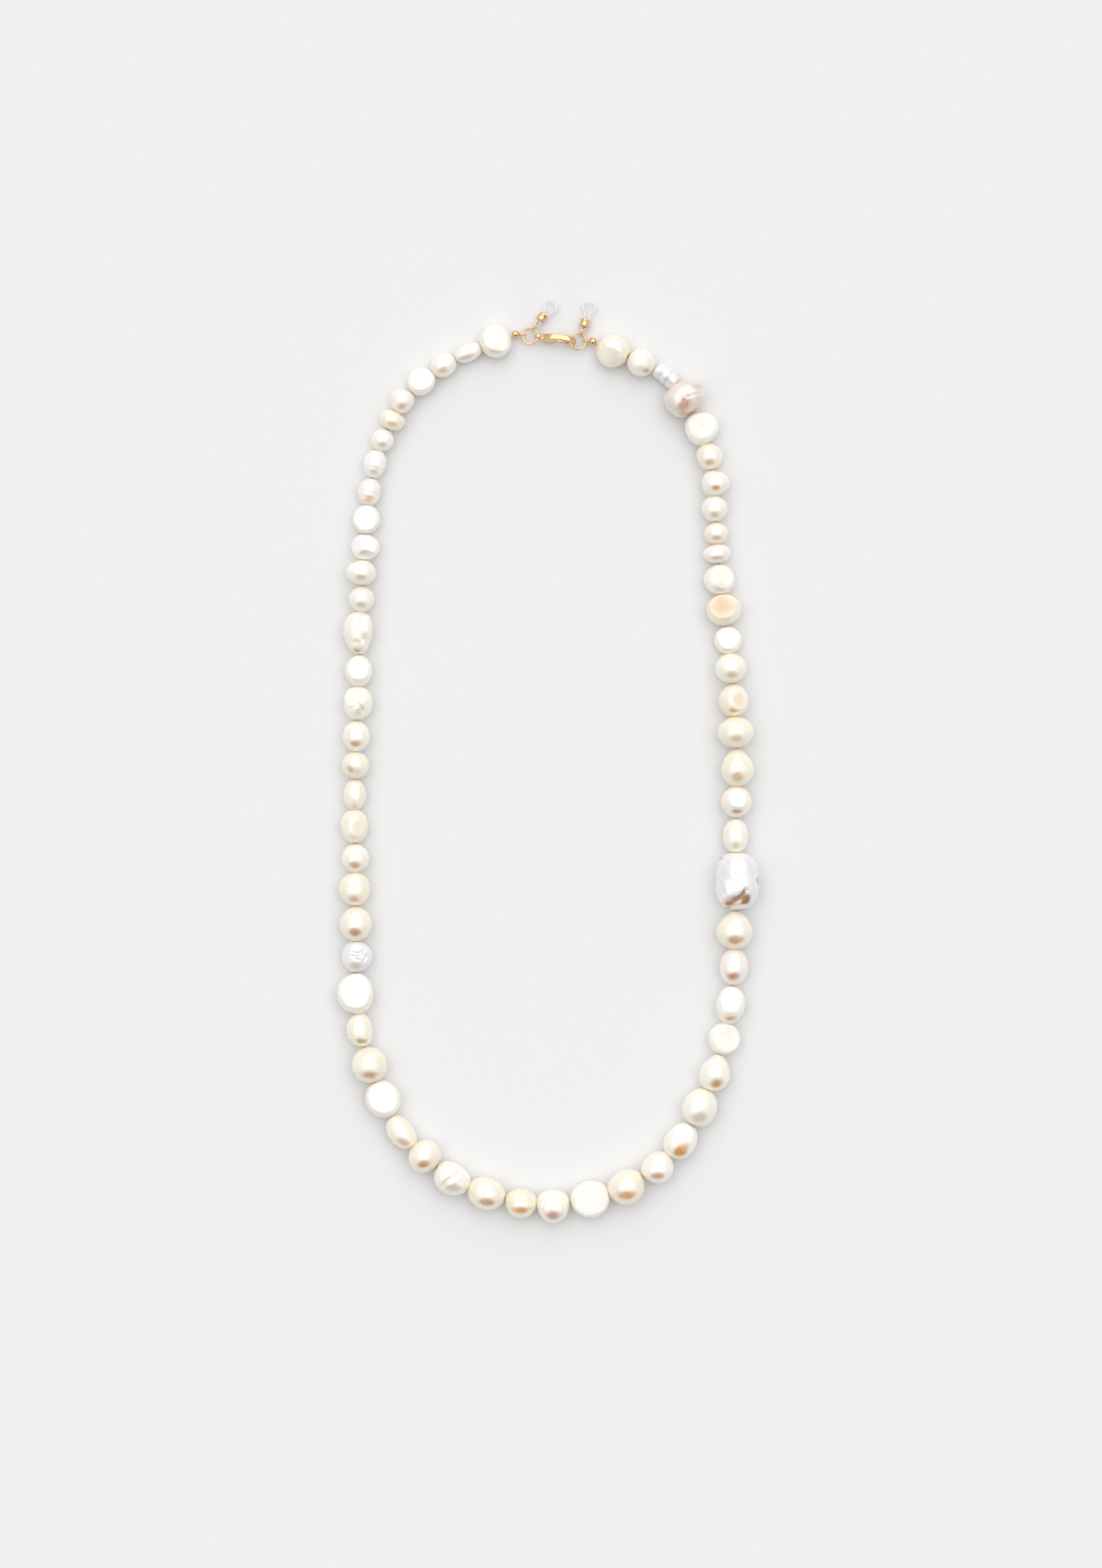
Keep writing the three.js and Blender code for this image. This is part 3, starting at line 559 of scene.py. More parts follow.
# Folds and ridges drawn over the top, in plan: the corners of each line, its depth and its width.
FOLDS = {
    14: [([(0.3, 0.95), (0.14, 0.5), (0.2, 0.05), (0.36, -0.3)], 0.13, 0.2),
         ([(0.55, 0.55), (0.6, 0.1)], -0.07, 0.2), ([(-0.4, -0.45), (0.1, -0.5)], 0.06, 0.12)],
    16: [([(-0.5, 0.05), (-0.1, 0.12), (0.35, 0.4)], 0.09, 0.06), ([(-0.4, -0.35), (0, 0.08)], 0.09, 0.06),
         ([(0.1, 0.02), (0.4, -0.45)], 0.1, 0.08), ([(-0.1, -0.25), (0.3, 0.1)], 0.06, 0.05)],
    19: [([(0.25, 0.5), (0.2, -0.3)], 0.04, 0.05), ([(0.42, 0.4), (0.38, -0.2)], -0.04, 0.1)],
    22: [([(-0.6, 0.1), (-0.2, 0.15), (0, 0.05)], 0.05, 0.05)],
    24: [([(-0.3, 0.35), (0.1, 0.25), (0.4, 0.4)], 0.09, 0.06),
         ([(0.4, 0.4), (0.7, 0), (0.5, -0.3)], 0.09, 0.07), ([(-0.1, -0.1), (0.2, -0.2)], 0.08, 0.06),
         ([(-0.4, 0.05), (0.1, 0.05), (0.35, 0.15)], 0.07, 0.05)],
    31: [([(-0.55, -0.4), (-0.2, 0), (0.3, 0.35), (0.5, 0.5)], 0.12, 0.08),
         ([(-0.5, 0.1), (0, 0.45)], 0.06, 0.06),
         ([(-0.4, -0.55), (0, -0.25), (0.45, 0.1)], -0.04, 0.1)],
    33: [([(-0.9, 0), (-0.4, 0.14), (0.4, 0.14), (0.9, 0)], 0.045, 0.05),
         ([(-0.8, -0.35), (0, -0.5), (0.8, -0.35)], 0.03, 0.05)],
    38: [([(0.1, 0.1), (0.2, -0.5)], 0.03, 0.04), ([(0.35, 0.2), (0.4, -0.5)], 0.045, 0.05),
         ([(-0.2, 0), (-0.1, -0.5)], 0.03, 0.05)],
    44: [([(0.1, 0.9), (0.3, 0.45), (0.5, 0)], -0.035, 0.07),
         ([(-0.1, 0.6), (-0.35, 0.2), (-0.2, -0.1)], 0.03, 0.04)],
    45: [
        ([(-0.62, -0.82), (-0.38, -0.6), (0, -0.55), (0.2, -0.42), (0.34, -0.3)], 0.13, 0.09),
        ([(-0.5, -0.95), (-0.1, -0.82), (0.35, -0.78)], 0.11, 0.07),
        ([(-0.5, -0.7), (-0.2, -0.68), (0.2, -0.62)], -0.06, 0.06),
        ([(-0.55, -0.1), (-0.45, -0.4), (-0.62, -0.62)], -0.06, 0.12),
        ([(-0.24, 0.3), (-0.08, 0.27), (0.1, 0.2)], 0.035, 0.04), ([(-0.05, 0.19), (0.12, 0.12)], 0.03, 0.03),
        ([(0.93, 0.05), (0.98, 0.05)], 0.09, 0.09), ([(-0.84, 0.62), (-0.78, 0.7)], -0.1, 0.08),
        ([(-0.3, 0.7), (0.3, 0.75)], -0.03, 0.2),
    ],
    48: [([(0.1, 0.9), (0.4, 0.5), (0.5, 0.1), (0.15, -0.1), (-0.3, 0)], 0.035, 0.05)],
    61: [([(0.1, 0), (0.7, 0.15)], 0.05, 0.09), ([(-0.1, -0.2), (0, -0.8)], 0.05, 0.08)],
    64: [([(-0.6, 0.2), (0, -0.05), (0.5, -0.35)], 0.04, 0.06)],
}

# Real stains, and painted dark reflections just below the middle of the top where the highlight ends: the way
# each looks, its half width and half height in radians, and its strength.
# Painted dark reflections just below the middle of the top, in the pearl's stain colour.
COMMON_PAINTED_REFLECTION = ((0, -0.42, 0.9), 0.4, 0.25, 0.55)
DEEP_PAINTED_REFLECTION = ((0, -0.42, 0.9), 0.4, 0.25, 1.0)
STAINS_AND_PAINTED_REFLECTIONS = {
    21: [DEEP_PAINTED_REFLECTION], 23: [DEEP_PAINTED_REFLECTION], 30: [DEEP_PAINTED_REFLECTION], 32: [DEEP_PAINTED_REFLECTION], 34: [DEEP_PAINTED_REFLECTION], 37: [DEEP_PAINTED_REFLECTION],
    40: [((0.15, -0.45, 0.9), 0.34, 0.26, 1)], 58: [((0, -0.42, 0.9), 0.3, 0.2, 1)],
    49: [((0, -0.42, 0.9), 0.3, 0.2, 0.4)],
    4: [], 10: [], 15: [((0, -0.8, 0.6), 0.2, 0.08, 0.4)], 14: [((-0.15, -0.7, 0.7), 0.3, 0.16, 0.95)],
    16: [((0.2, -0.2, 0.9), 0.3, 0.3, 0.4)], 17: [((0, -0.4, 0.9), 0.42, 0.2, 0.95)],
    18: [((-0.32, -0.25, 0.9), 0.24, 0.27, 1)], 19: [((0, -0.7, 0.7), 0.25, 0.15, 0.6)],
    20: [((0.32, -0.05, 1), 0.4, 0.5, 0.25)], 25: [], 26: [((0.15, -0.5, 0.85), 0.42, 0.2, 1)],
    27: [((0, -0.5, 0.85), 0.5, 0.22, 0.95)], 28: [], 33: [((0, -0.35, 0.9), 0.55, 0.25, 0.9)],
    35: [], 36: [((0, -0.35, 0.9), 0.5, 0.26, 1)], 38: [((0.05, -0.42, 0.85), 0.36, 0.42, 1.2)], 41: [],
    42: [((0.1, -0.62, 0.78), 0.45, 0.17, 1)], 43: [((-0.05, -0.4, 0.92), 0.5, 0.2, 1)],
    44: [((0.05, -0.45, 0.9), 0.42, 0.22, 0.95)], 47: [((0, -0.55, 0.8), 0.36, 0.16, 1)],
    45: [((0.3, -0.4, 0.8), 0.21, 0.19, 1.5), ((0.28, -0.86, 0.4), 0.24, 0.1, 1.4),
         ((-0.55, -0.9, 0.3), 0.3, 0.1, 1.2), ((1, 0.03, 0.3), 0.14, 0.12, 1.4),
         ((-0.85, 0.75, 0.3), 0.14, 0.1, 0.8)],
    50: [((-0.05, -0.6, 0.8), 0.3, 0.15, 0.9), ((0.4, 0.05, 1), 0.4, 0.5, 0.3)],
    52: [((0, -0.62, 0.8), 0.45, 0.08, 0.8)], 53: [((-0.1, 0.3, 1), 0.78, 0.7, 0.6)],
    60: [((-0.03, 0.15, 1), 0.16, 0.16, 0.3)],
    61: [((0, -0.35, 0.9), 0.22, 0.32, 0.95), ((0.25, -0.75, 0.5), 0.4, 0.16, 0.9),
         ((0.55, 0.5, 0.7), 0.3, 0.2, 0.45)],
    63: [((0.35, -0.6, 0.75), 0.26, 0.2, 1.1)], 64: [],
}
# Darker lines drawn over the top, in plan: the corners of each line, its width and its strength.
DARK_LINES = {45: [([(-0.45, -0.72), (-0.1, -0.6), (0.15, -0.5), (0.3, -0.36)], 0.08, 1.3)]}
# Colours of each pearl's stains and of its painted dark reflection.
STAIN_AND_REFLECTION_COLOURS = {
    "grey": (0.58, 0.46, 0.33), "brown": (0.6, 0.34, 0.15), "amber": (0.72, 0.36, 0.11),
    "peach": (0.82, 0.48, 0.26), "olive": (0.46, 0.38, 0.17), "mauve": (0.56, 0.29, 0.22),
    "copper": (0.62, 0.27, 0.14), "umber": (0.34, 0.17, 0.07),
}


GREAT_GRID, FOLDED_GRID, PLAIN_GRID = (130, 150), (80, 110), (44, 64)
LUMP_COUNT, RIPPLE_COUNT, DIMPLE_COUNT = 9, 5, 60
RIPPLE_HEIGHT = 0.0035
PATCH_EDGE = 2
FACE_EDGE = 0.03
FACE_FLATNESS = 0.93
# How much of the painted warm light, a painted warm reflection, falls low on the sides.
RIM_WARM_LIGHT = 0.7


def outline(half, radius, roundness, taper, lean, slopes, rows):
    """(along, half width) from one end to the other: a cone out from the bore, then the round body. The cone
    is steep only where the strand bends, so that two pearls can lean on each other."""
    cap = RIM_RADIUS + lean * (radius - RIM_RADIUS)
    near, far = (half - (cap - RIM_RADIUS) * slope for slope in slopes)
    t = -np.cos(np.linspace(0, math.pi, rows))
    swell = np.clip(1 - np.abs(t) ** roundness, 0, 1) ** (2 / roundness)
    swell *= (1 - taper * np.clip((t + 0.2) / 1.2, 0, 1) ** 1.5) ** 2
    body = np.sqrt(cap**2 + (radius**2 - cap**2) * swell)
    cone = np.linspace(RIM_RADIUS, cap, CAP_RINGS, endpoint=False)
    start, end = (half - (cone - RIM_RADIUS) * slope for slope in slopes)
    middle = (t + 1) / 2 * (near + far) - near
    return np.concatenate([-start, middle, end[::-1]]), np.concatenate([cone, body, cone[::-1]])


def patch(normals, way, wide, tall, edge):
    """A share that is 1 over an oval patch that faces way, and falls to 0 past its edge."""
    way = np.array(way) / np.linalg.norm(way)
    across = np.cross(way, (0, -1, 0.001))
    across /= np.linalg.norm(across)
    a = np.arctan2(normals @ across, normals @ way) / wide
    b = np.arctan2(normals @ np.cross(way, across), normals @ way) / tall
    return np.exp(-((a**2 + b**2) ** edge))


def near_line(seen, line, wide):
    """A share that is 1 on a line drawn over the top of a pearl, and falls to 0 past its width. The line's
    corners are places in plan, in half widths right and up from the middle."""
    flat = seen[..., :2]
    share = np.zeros(seen.shape[:2])
    for a, b in zip(line, line[1:]):
        a, b = np.array(a, float), np.array(b, float)
        reach = np.clip((flat - a) @ (b - a) / max((b - a) @ (b - a), 1e-9), 0, 1)
        off = np.linalg.norm(flat - a - reach[..., None] * (b - a), axis=-1)
        share = np.maximum(share, np.exp(-((off / wide) ** 2)))
    return share * np.clip(seen[..., 2] * 4 + 0.6, 0, 1)


def pearl_mesh(index, length, world_to_local):
    """Points of one pearl round its bore, in mm: x outward, y along the thread, z up. Also each one's share
    of the shift off the bore, and its shares of stain and painted dark reflection, of painted warm light, and
    of dullness."""
    number = index + 1
    _, width, side, kind, _, _ = PEARLS[index]
    roundness, taper, lumps, lean = FORM[kind]
    rng = np.random.default_rng(9000 + number)
    if kind == "great":
        rows, columns = GREAT_GRID
    else:
        rows, columns = FOLDED_GRID if number in FOLDS or number in RINGS else PLAIN_GRID
    radius, half = width / 2, length / 2
    height = radius * HEIGHT_SHARE[kind]
    slopes = (OPEN_SLOPE, CLOSED_SLOPE) if index % 2 == 0 else (CLOSED_SLOPE, OPEN_SLOPE)
    along, spread = outline(half, radius, roundness, taper, lean, slopes, rows)
    around = 2 * math.pi * np.arange(columns) / columns
    spread, aa = np.meshgrid(spread, around, indexing="ij")
    tt = np.repeat((along / half)[:, None], columns, 1)
    share = np.clip((spread - RIM_RADIUS) / (radius - RIM_RADIUS), 0, 1)
    turn = aa + TWISTS.get(number, 0) * tt
    points = np.stack([
        spread * np.cos(turn), half * tt, spread * np.sin(turn) * (1 + (height / radius - 1) * share)], -1)
    sizes = np.array([radius, half, height])
    look = points / sizes
    look /= np.linalg.norm(look, axis=-1, keepdims=True)

    grow = np.zeros_like(tt)
    for _ in range(LUMP_COUNT):
        way = rng.normal(size=3)
        way /= np.linalg.norm(way)
        grow += lumps * rng.uniform(-0.55, 0.55) * np.exp((look @ way - 1) / rng.uniform(0.1, 0.5))
    for _ in range(RIPPLE_COUNT):
        way = rng.normal(size=3)
        grow += RIPPLE_HEIGHT * np.sin(look @ way * rng.uniform(4, 9) + rng.uniform(0, 6))
    for way, amount, spread_out in DENTS.get(number, ()):
        local = np.array(world_to_local @ Vector(way).normalized())
        grow += amount * np.exp((look @ local - 1) / spread_out)
    for place, depth, wide in BANDS.get(number, ()):
        wobble = 0.05 * np.sin(aa * 2 + number)
        grow -= depth * np.exp(-(((tt - place - wobble) / wide) ** 2))
    for way, place, wide, high in RINGS.get(number, ()):
        local = np.array(world_to_local @ Vector(way).normalized())
        grow += high * np.exp(-(((np.arccos(np.clip(look @ local, -1, 1)) - place) / wide) ** 2))
    # Near the bore a pearl keeps its length, so that it stays clear of the next one.
    give = np.stack([np.sqrt(share), share, np.sqrt(share)], -1)
    points *= 1 + grow[..., None] * give
    if kind == "great":
        for _ in range(DIMPLE_COUNT):
            way = rng.normal(size=3)
            way /= np.linalg.norm(way)
            dimple = rng.uniform(-0.02, 0.016) * np.exp((look @ way - 1) / rng.uniform(0.002, 0.008))
            points *= 1 + dimple[..., None] * give
    dull = np.zeros_like(tt)

    seen = look @ np.array(world_to_local)
    for line, depth, wide in FOLDS.get(number, ()):
        points *= 1 - depth * near_line(seen, line, wide)[..., None] * give

    for way, depth in FACES.get(number, ()):
        local = np.array(world_to_local @ Vector(way).normalized())
        reach = np.linalg.norm(sizes * local)
        soft = FACE_EDGE * reach
        over = points @ local - depth * reach
        cut = np.where(over > soft, over, np.maximum(over + soft, 0) ** 2 / (4 * soft)) * FACE_FLATNESS
        points -= (cut * share)[..., None] * local
        if number in DULL_FACES:
            dull = np.maximum(dull, np.clip(over / soft, 0, 1))

    to_world = np.array(world_to_local.transposed())
    normals = points / sizes**2
    normals = (normals / np.linalg.norm(normals, axis=-1, keepdims=True)) @ to_world.T
    # Real stains, and a painted dark reflection just below the middle of the top.
    stain_and_painted_reflection = np.zeros_like(tt)
    for way, wide, tall, strength in STAINS_AND_PAINTED_REFLECTIONS.get(number, [COMMON_PAINTED_REFLECTION]):
        stain_and_painted_reflection = np.maximum(stain_and_painted_reflection, strength * patch(normals, way, wide, tall, PATCH_EDGE))
    # Darker lines drawn over the top.
    for line, wide, strength in DARK_LINES.get(number, ()):
        stain_and_painted_reflection = np.maximum(stain_and_painted_reflection, strength * near_line(seen, line, wide))
    if PEARLS[index][5] == "umber":
        dull = np.maximum(dull, stain_and_painted_reflection)
    # Painted warm light: a painted glow of light through the nacre by the drill holes, and a painted warm
    # reflection low on the sides.
    ends = np.clip((np.abs(tt) - 0.45) / 0.5, 0, 1) ** 2
    rim = np.clip((0.4 - normals[..., 2]) / 0.6, 0, 1)
    painted_warm_light = np.clip(ends + RIM_WARM_LIGHT * rim, 0, 1)
    # The body is shifted sideways, while its bore stays on the thread.
    points[..., 0] += side * share
    return points, share, (stain_and_painted_reflection, painted_warm_light, dull)


def add_pearl(index):
    axis = (JUNCTIONS[index + 1] - JUNCTIONS[index]).normalized()
    gaps = (OPEN_GAP, CLOSED_GAP) if index % 2 == 0 else (CLOSED_GAP, OPEN_GAP)
    start = JUNCTIONS[index] + axis * gaps[0] / 2 * MM
    end = JUNCTIONS[index + 1] - axis * gaps[1] / 2 * MM
    outward = axis.cross(UP).normalized()
    rise = outward.cross(axis)
    turned = Matrix((outward, axis, rise)).transposed()
    half = (end - start).length / MM / 2
    points, share, painted = pearl_mesh(index, 2 * half, turned.transposed())
    middle = (start + end) / 2
    # The body moves off its bore until it just rests on the table.
    for _ in range(3):
        heights = points @ np.array([outward.z, axis.z, rise.z]) + middle.z / MM
        points[..., 2] -= heights.min() * share
    columns = points.shape[1]
    around = 2 * math.pi * np.arange(columns) / columns
    bore = [np.stack([BORE_RADIUS * np.cos(around), np.full(columns, end), BORE_RADIUS * np.sin(around)], -1)
            for end in (half, -half)]
    points = np.concatenate([points, bore])
    pearl = add_piece(
        f"nacre_pearl_{index + 1:02d}", (points * MM).reshape(-1, 3), grid_faces(*points.shape[:2], True),
        NACRE[PEARLS[index][4]], Matrix.Translation(middle) @ turned.to_4x4())
    # The object colour: the colour of the pearl's stains and of its painted dark reflection.
    pearl.color = (*STAIN_AND_REFLECTION_COLOURS[PEARLS[index][5]], 1)
    for name, values, at_bore in zip(("stain_and_painted_reflection", "painted_warm_light", "dull"), painted, (0, 1, 0)):
        values = np.concatenate([values.ravel(), np.full(2 * columns, at_bore)])
        pearl.data.attributes.new(name, "FLOAT", "POINT").data.foreach_set("value", values.astype(np.float32))
    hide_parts(node_of_pearl(index))
    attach(pearl, body_of_pearl(index))


for pearl_index in range(len(PEARLS)):
    add_pearl(pearl_index)

# ---------------------------------------------------------------- thread

THREAD_RADIUS = 0.2 * MM


def strand_end(tip, inner):
    onwards = (tip - inner)
    onwards.z = 0
    ball = tip + onwards.normalized() * COVER_STANDOFF * MM
    ball.z = tip.z + (COVER_HEIGHT - END_HEIGHT) * MM
    return ball


LEFT_BALL = strand_end(JUNCTIONS[0], JUNCTIONS[1])
RIGHT_BALL = strand_end(JUNCTIONS[-1], JUNCTIONS[-2])


def filled(points, steps=5):
    """The points with more between them, so that a bend is smooth."""
    out = []
    for a, b in zip(points, points[1:]):
        out += [a.lerp(b, k / steps) for k in range(steps)]
    return out + [points[-1]]


def thread_piece(name, points):
    piece = tube(name, filled(points), THREAD_RADIUS, SILK, sides=10)
    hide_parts("thread")
    return piece


def add_knot(name, centre, body):
    """An overhand knot: a trefoil drawn small, which fills the hollow of its cover."""
    points = []
    for k in range(48):
        a = 2 * math.pi * k / 48
        points.append(centre + Vector((
            math.sin(a) + 2 * math.sin(2 * a), math.cos(a) - 2 * math.cos(2 * a), -math.sin(3 * a)
        )) * 0.115 * MM)
    knot = tube(name, points, 0.15 * MM, SILK, sides=8, closed=True)
    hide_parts("thread")
    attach(knot, body)


def add_thread():
    ends = [
        ("thread_end_left", [LEFT_BALL, JUNCTIONS[0], JUNCTIONS[1]], "strand_01"),
        ("thread_end_right", [JUNCTIONS[-2], JUNCTIONS[-1], RIGHT_BALL], f"strand_{LINKS:02d}"),
        ("thread_open_left", [JUNCTIONS[OPEN_JUNCTION - 1], JUNCTIONS[OPEN_JUNCTION]], "strand_16"),
        ("thread_open_right", [JUNCTIONS[OPEN_JUNCTION], JUNCTIONS[OPEN_JUNCTION + 1]], "strand_17"),
    ]
    for name, points, body in ends:
        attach(thread_piece(name, points), body)
    for link in range(1, LINKS):
        k = 2 * link
        if k == OPEN_JUNCTION:
            continue
        piece = thread_piece(f"thread_{link:02d}", JUNCTIONS[k - 1 : k + 2])
        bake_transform(piece)
    add_knot("knot_left", LEFT_BALL, "strand_01")
    add_knot("knot_right", RIGHT_BALL, f"strand_{LINKS:02d}")


add_thread()

# ---------------------------------------------------------------- knot covers and rings

COVER_RADIUS = 1.25
COVER_WALL = 0.35
COVER_LOOP_RADIUS = 0.95 * MM
COVER_LOOP_WIRE = 0.25 * MM
RING_RADIUS = 2.6 * MM
RING_WIRE = 0.35 * MM
TIE_RADIUS = 1.5 * MM
TIE_WIRE = 0.25 * MM


def basis(x, y, z, place):
    return Matrix.Translation(place) @ Matrix((x, y, z)).transposed().to_4x4()


def arc(centre, across, along, radius, start, sweep, steps):
    """Points of an arc from start, in degrees from across towards along."""
    points = []
    for k in range(steps + 1):
        angle = math.radians(start + sweep * k / steps)
        points.append(centre + (across * math.cos(angle) + along * math.sin(angle)) * radius)
    return points


def add_cover(node, ball, tip, loop_centre, body):
    inner = COVER_RADIUS - COVER_WALL
    lip = math.asin(BORE_RADIUS / COVER_RADIUS)
    inner_lip = math.asin(BORE_RADIUS / inner)
    steps = 16
    outer = [math.pi - (math.pi - lip) * k / steps for k in range(steps + 1)]
    inside = [inner_lip + (math.pi - inner_lip) * k / steps for k in range(steps + 1)]
    profile = []
    for angle in outer:
        seam = 1 - 0.05 * math.exp(-(((angle - math.pi / 2) / 0.07) ** 2))
        reach = COVER_RADIUS * seam
        profile.append((max(reach * math.sin(angle), 0.002), reach * math.cos(angle)))
    profile += [(max(inner * math.sin(angle), 0.002), inner * math.cos(angle)) for angle in inside]
    y = (tip - ball).normalized()
    x = y.cross(UP).normalized()
    cover = revolved(f"gold_{node}", profile, basis(x, y, x.cross(y), ball), GOLD)
    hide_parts(node)
    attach(cover, body)
    out = loop_centre - ball
    out.z = 0
    out.normalize()
    loop = tube(f"gold_{node}_loop", arc(loop_centre, out, UP, COVER_LOOP_RADIUS, -163, 326, 40),
                COVER_LOOP_WIRE, GOLD)
    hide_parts(node)
    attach(loop, body)


def ring_frame(clasp_side, cover_side):
    centre = (clasp_side + cover_side) / 2
    slope = (clasp_side - cover_side).normalized()
    return centre, slope, UP.cross(slope).normalized()


def add_ring(node, ring, body, seam):
    """A jump ring, closed with a butt seam."""
    centre, slope, sideways = ring
    points = arc(centre, slope, sideways, RING_RADIUS, seam, 357.5, 90)
    wire = tube(f"gold_{node}", points, RING_WIRE, GOLD, sides=18)
    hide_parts(node)
    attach(wire, body)


EYE = joint_place("ring_left_swing")
HOOK = joint_place("ring_right_swing")
LEFT_RING = ring_frame(EYE, joint_place("strand_01_lift"))
RIGHT_RING = ring_frame(HOOK, joint_place("strand_32_lift"))
add_cover("knot_cover_left", LEFT_BALL, JUNCTIONS[0], joint_place("strand_01_lift"), "strand_01")
add_cover("knot_cover_right", RIGHT_BALL, JUNCTIONS[-1], joint_place("strand_32_lift"), "strand_32")
add_ring("jump_ring_left", LEFT_RING, "ring_left", 250)
add_ring("jump_ring_right", RIGHT_RING, "ring_right", 60)

# ---------------------------------------------------------------- clasp

CLASP_HEADING = math.radians(-7)
CLASP_LEAN = math.radians(15)
CLASP_THICKNESS = 2.0
EYE_THICKNESS = 1.0
LEVER_THICKNESS = 0.7
LEVER_PIVOT = (3.6, -0.9)
LEVER_HOLE = 0.42
PIN_RADIUS = 0.28
PIN_LENGTH = 2.5
CLASP = (Matrix.Translation(EYE) @ Matrix.Rotation(CLASP_HEADING, 4, "Z")
         @ Matrix.Rotation(math.pi / 2 - CLASP_LEAN, 4, "X"))


def bezier(a, b, c, d, steps=12):
    out = []
    for k in range(1, steps + 1):
        u = k / steps
        w = ((1 - u) ** 3, 3 * u * (1 - u) ** 2, 3 * u * u * (1 - u), u**3)
        out.append(tuple(sum(wi * p[i] for wi, p in zip(w, (a, b, c, d))) for i in (0, 1)))
    return out


def circle(x, y, radius, steps=32):
    return [(x + radius * math.cos(2 * math.pi * k / steps), y + radius * math.sin(2 * math.pi * k / steps))
            for k in range(steps)]


def plate(name, outlines, thickness, edge):
    """A flat plate in mm with rounded edges, from one outline and its holes."""
    curve = bpy.data.curves.new(name, "CURVE")
    curve.dimensions = "2D"
    curve.fill_mode = "BOTH"
    for outline in outlines:
        spline = curve.splines.new("POLY")
        spline.points.add(len(outline) - 1)
        for point, (x, y) in zip(spline.points, outline):
            point.co = (x * MM, y * MM, 0, 1)
        spline.use_cyclic_u = True
    curve.extrude = (thickness / 2 - edge) * MM
    curve.bevel_depth = edge * MM
    curve.bevel_resolution = 3
    curve.offset = -edge * MM
    source = bpy.data.objects.new(name + "_curve", curve)
    bpy.context.scene.collection.objects.link(source)
    bpy.context.view_layer.update()
    evaluated = source.evaluated_get(bpy.context.evaluated_depsgraph_get())
    mesh = bpy.data.meshes.new_from_object(evaluated)
    bpy.data.objects.remove(source)
    mesh.name = name
    solid = bpy.data.objects.new(name, mesh)
    bpy.context.scene.collection.objects.link(solid)
    weld(solid)
    return solid


def bake_modifiers(thing):
    bpy.context.view_layer.update()
    evaluated = thing.evaluated_get(bpy.context.evaluated_depsgraph_get())
    mesh = bpy.data.meshes.new_from_object(evaluated)
    thing.modifiers.clear()
    thing.data = mesh


def weld(thing):
    modifier = thing.modifiers.new("weld", "WELD")
    modifier.merge_threshold = 2e-6
    bake_modifiers(thing)


def combine(thing, tool, how):
    modifier = thing.modifiers.new(how, "BOOLEAN")
    modifier.operation = how
    modifier.solver = "EXACT"
    modifier.object = tool
    bake_modifiers(thing)
    bpy.data.objects.remove(tool)


def block(x0, x1, y0, y1, z0, z1):
    mesh = bpy.data.meshes.new("block")
    corners = [Vector((x, y, z)) * MM for x in (x0, x1) for y in (y0, y1) for z in (z0, z1)]
    faces = [(0, 1, 3, 2), (4, 6, 7, 5), (0, 4, 5, 1), (2, 3, 7, 6), (0, 2, 6, 4), (1, 5, 7, 3)]
    mesh.from_pydata(corners, [], faces)
    made = bpy.data.objects.new("block", mesh)
    bpy.context.scene.collection.objects.link(made)
    return made


def finish_clasp_piece(piece, node, material, slot, body):
    piece.name = f"gold_{node}" if slot == "gold" else f"steel_{node}"
    piece.data.materials.clear()
    piece.data.materials.append(material)
    piece.matrix_world = CLASP
    for polygon in piece.data.polygons:
        polygon.use_smooth = True
    piece.data.set_sharp_from_angle(angle=math.radians(38))
    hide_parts(node)
    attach(piece, body)


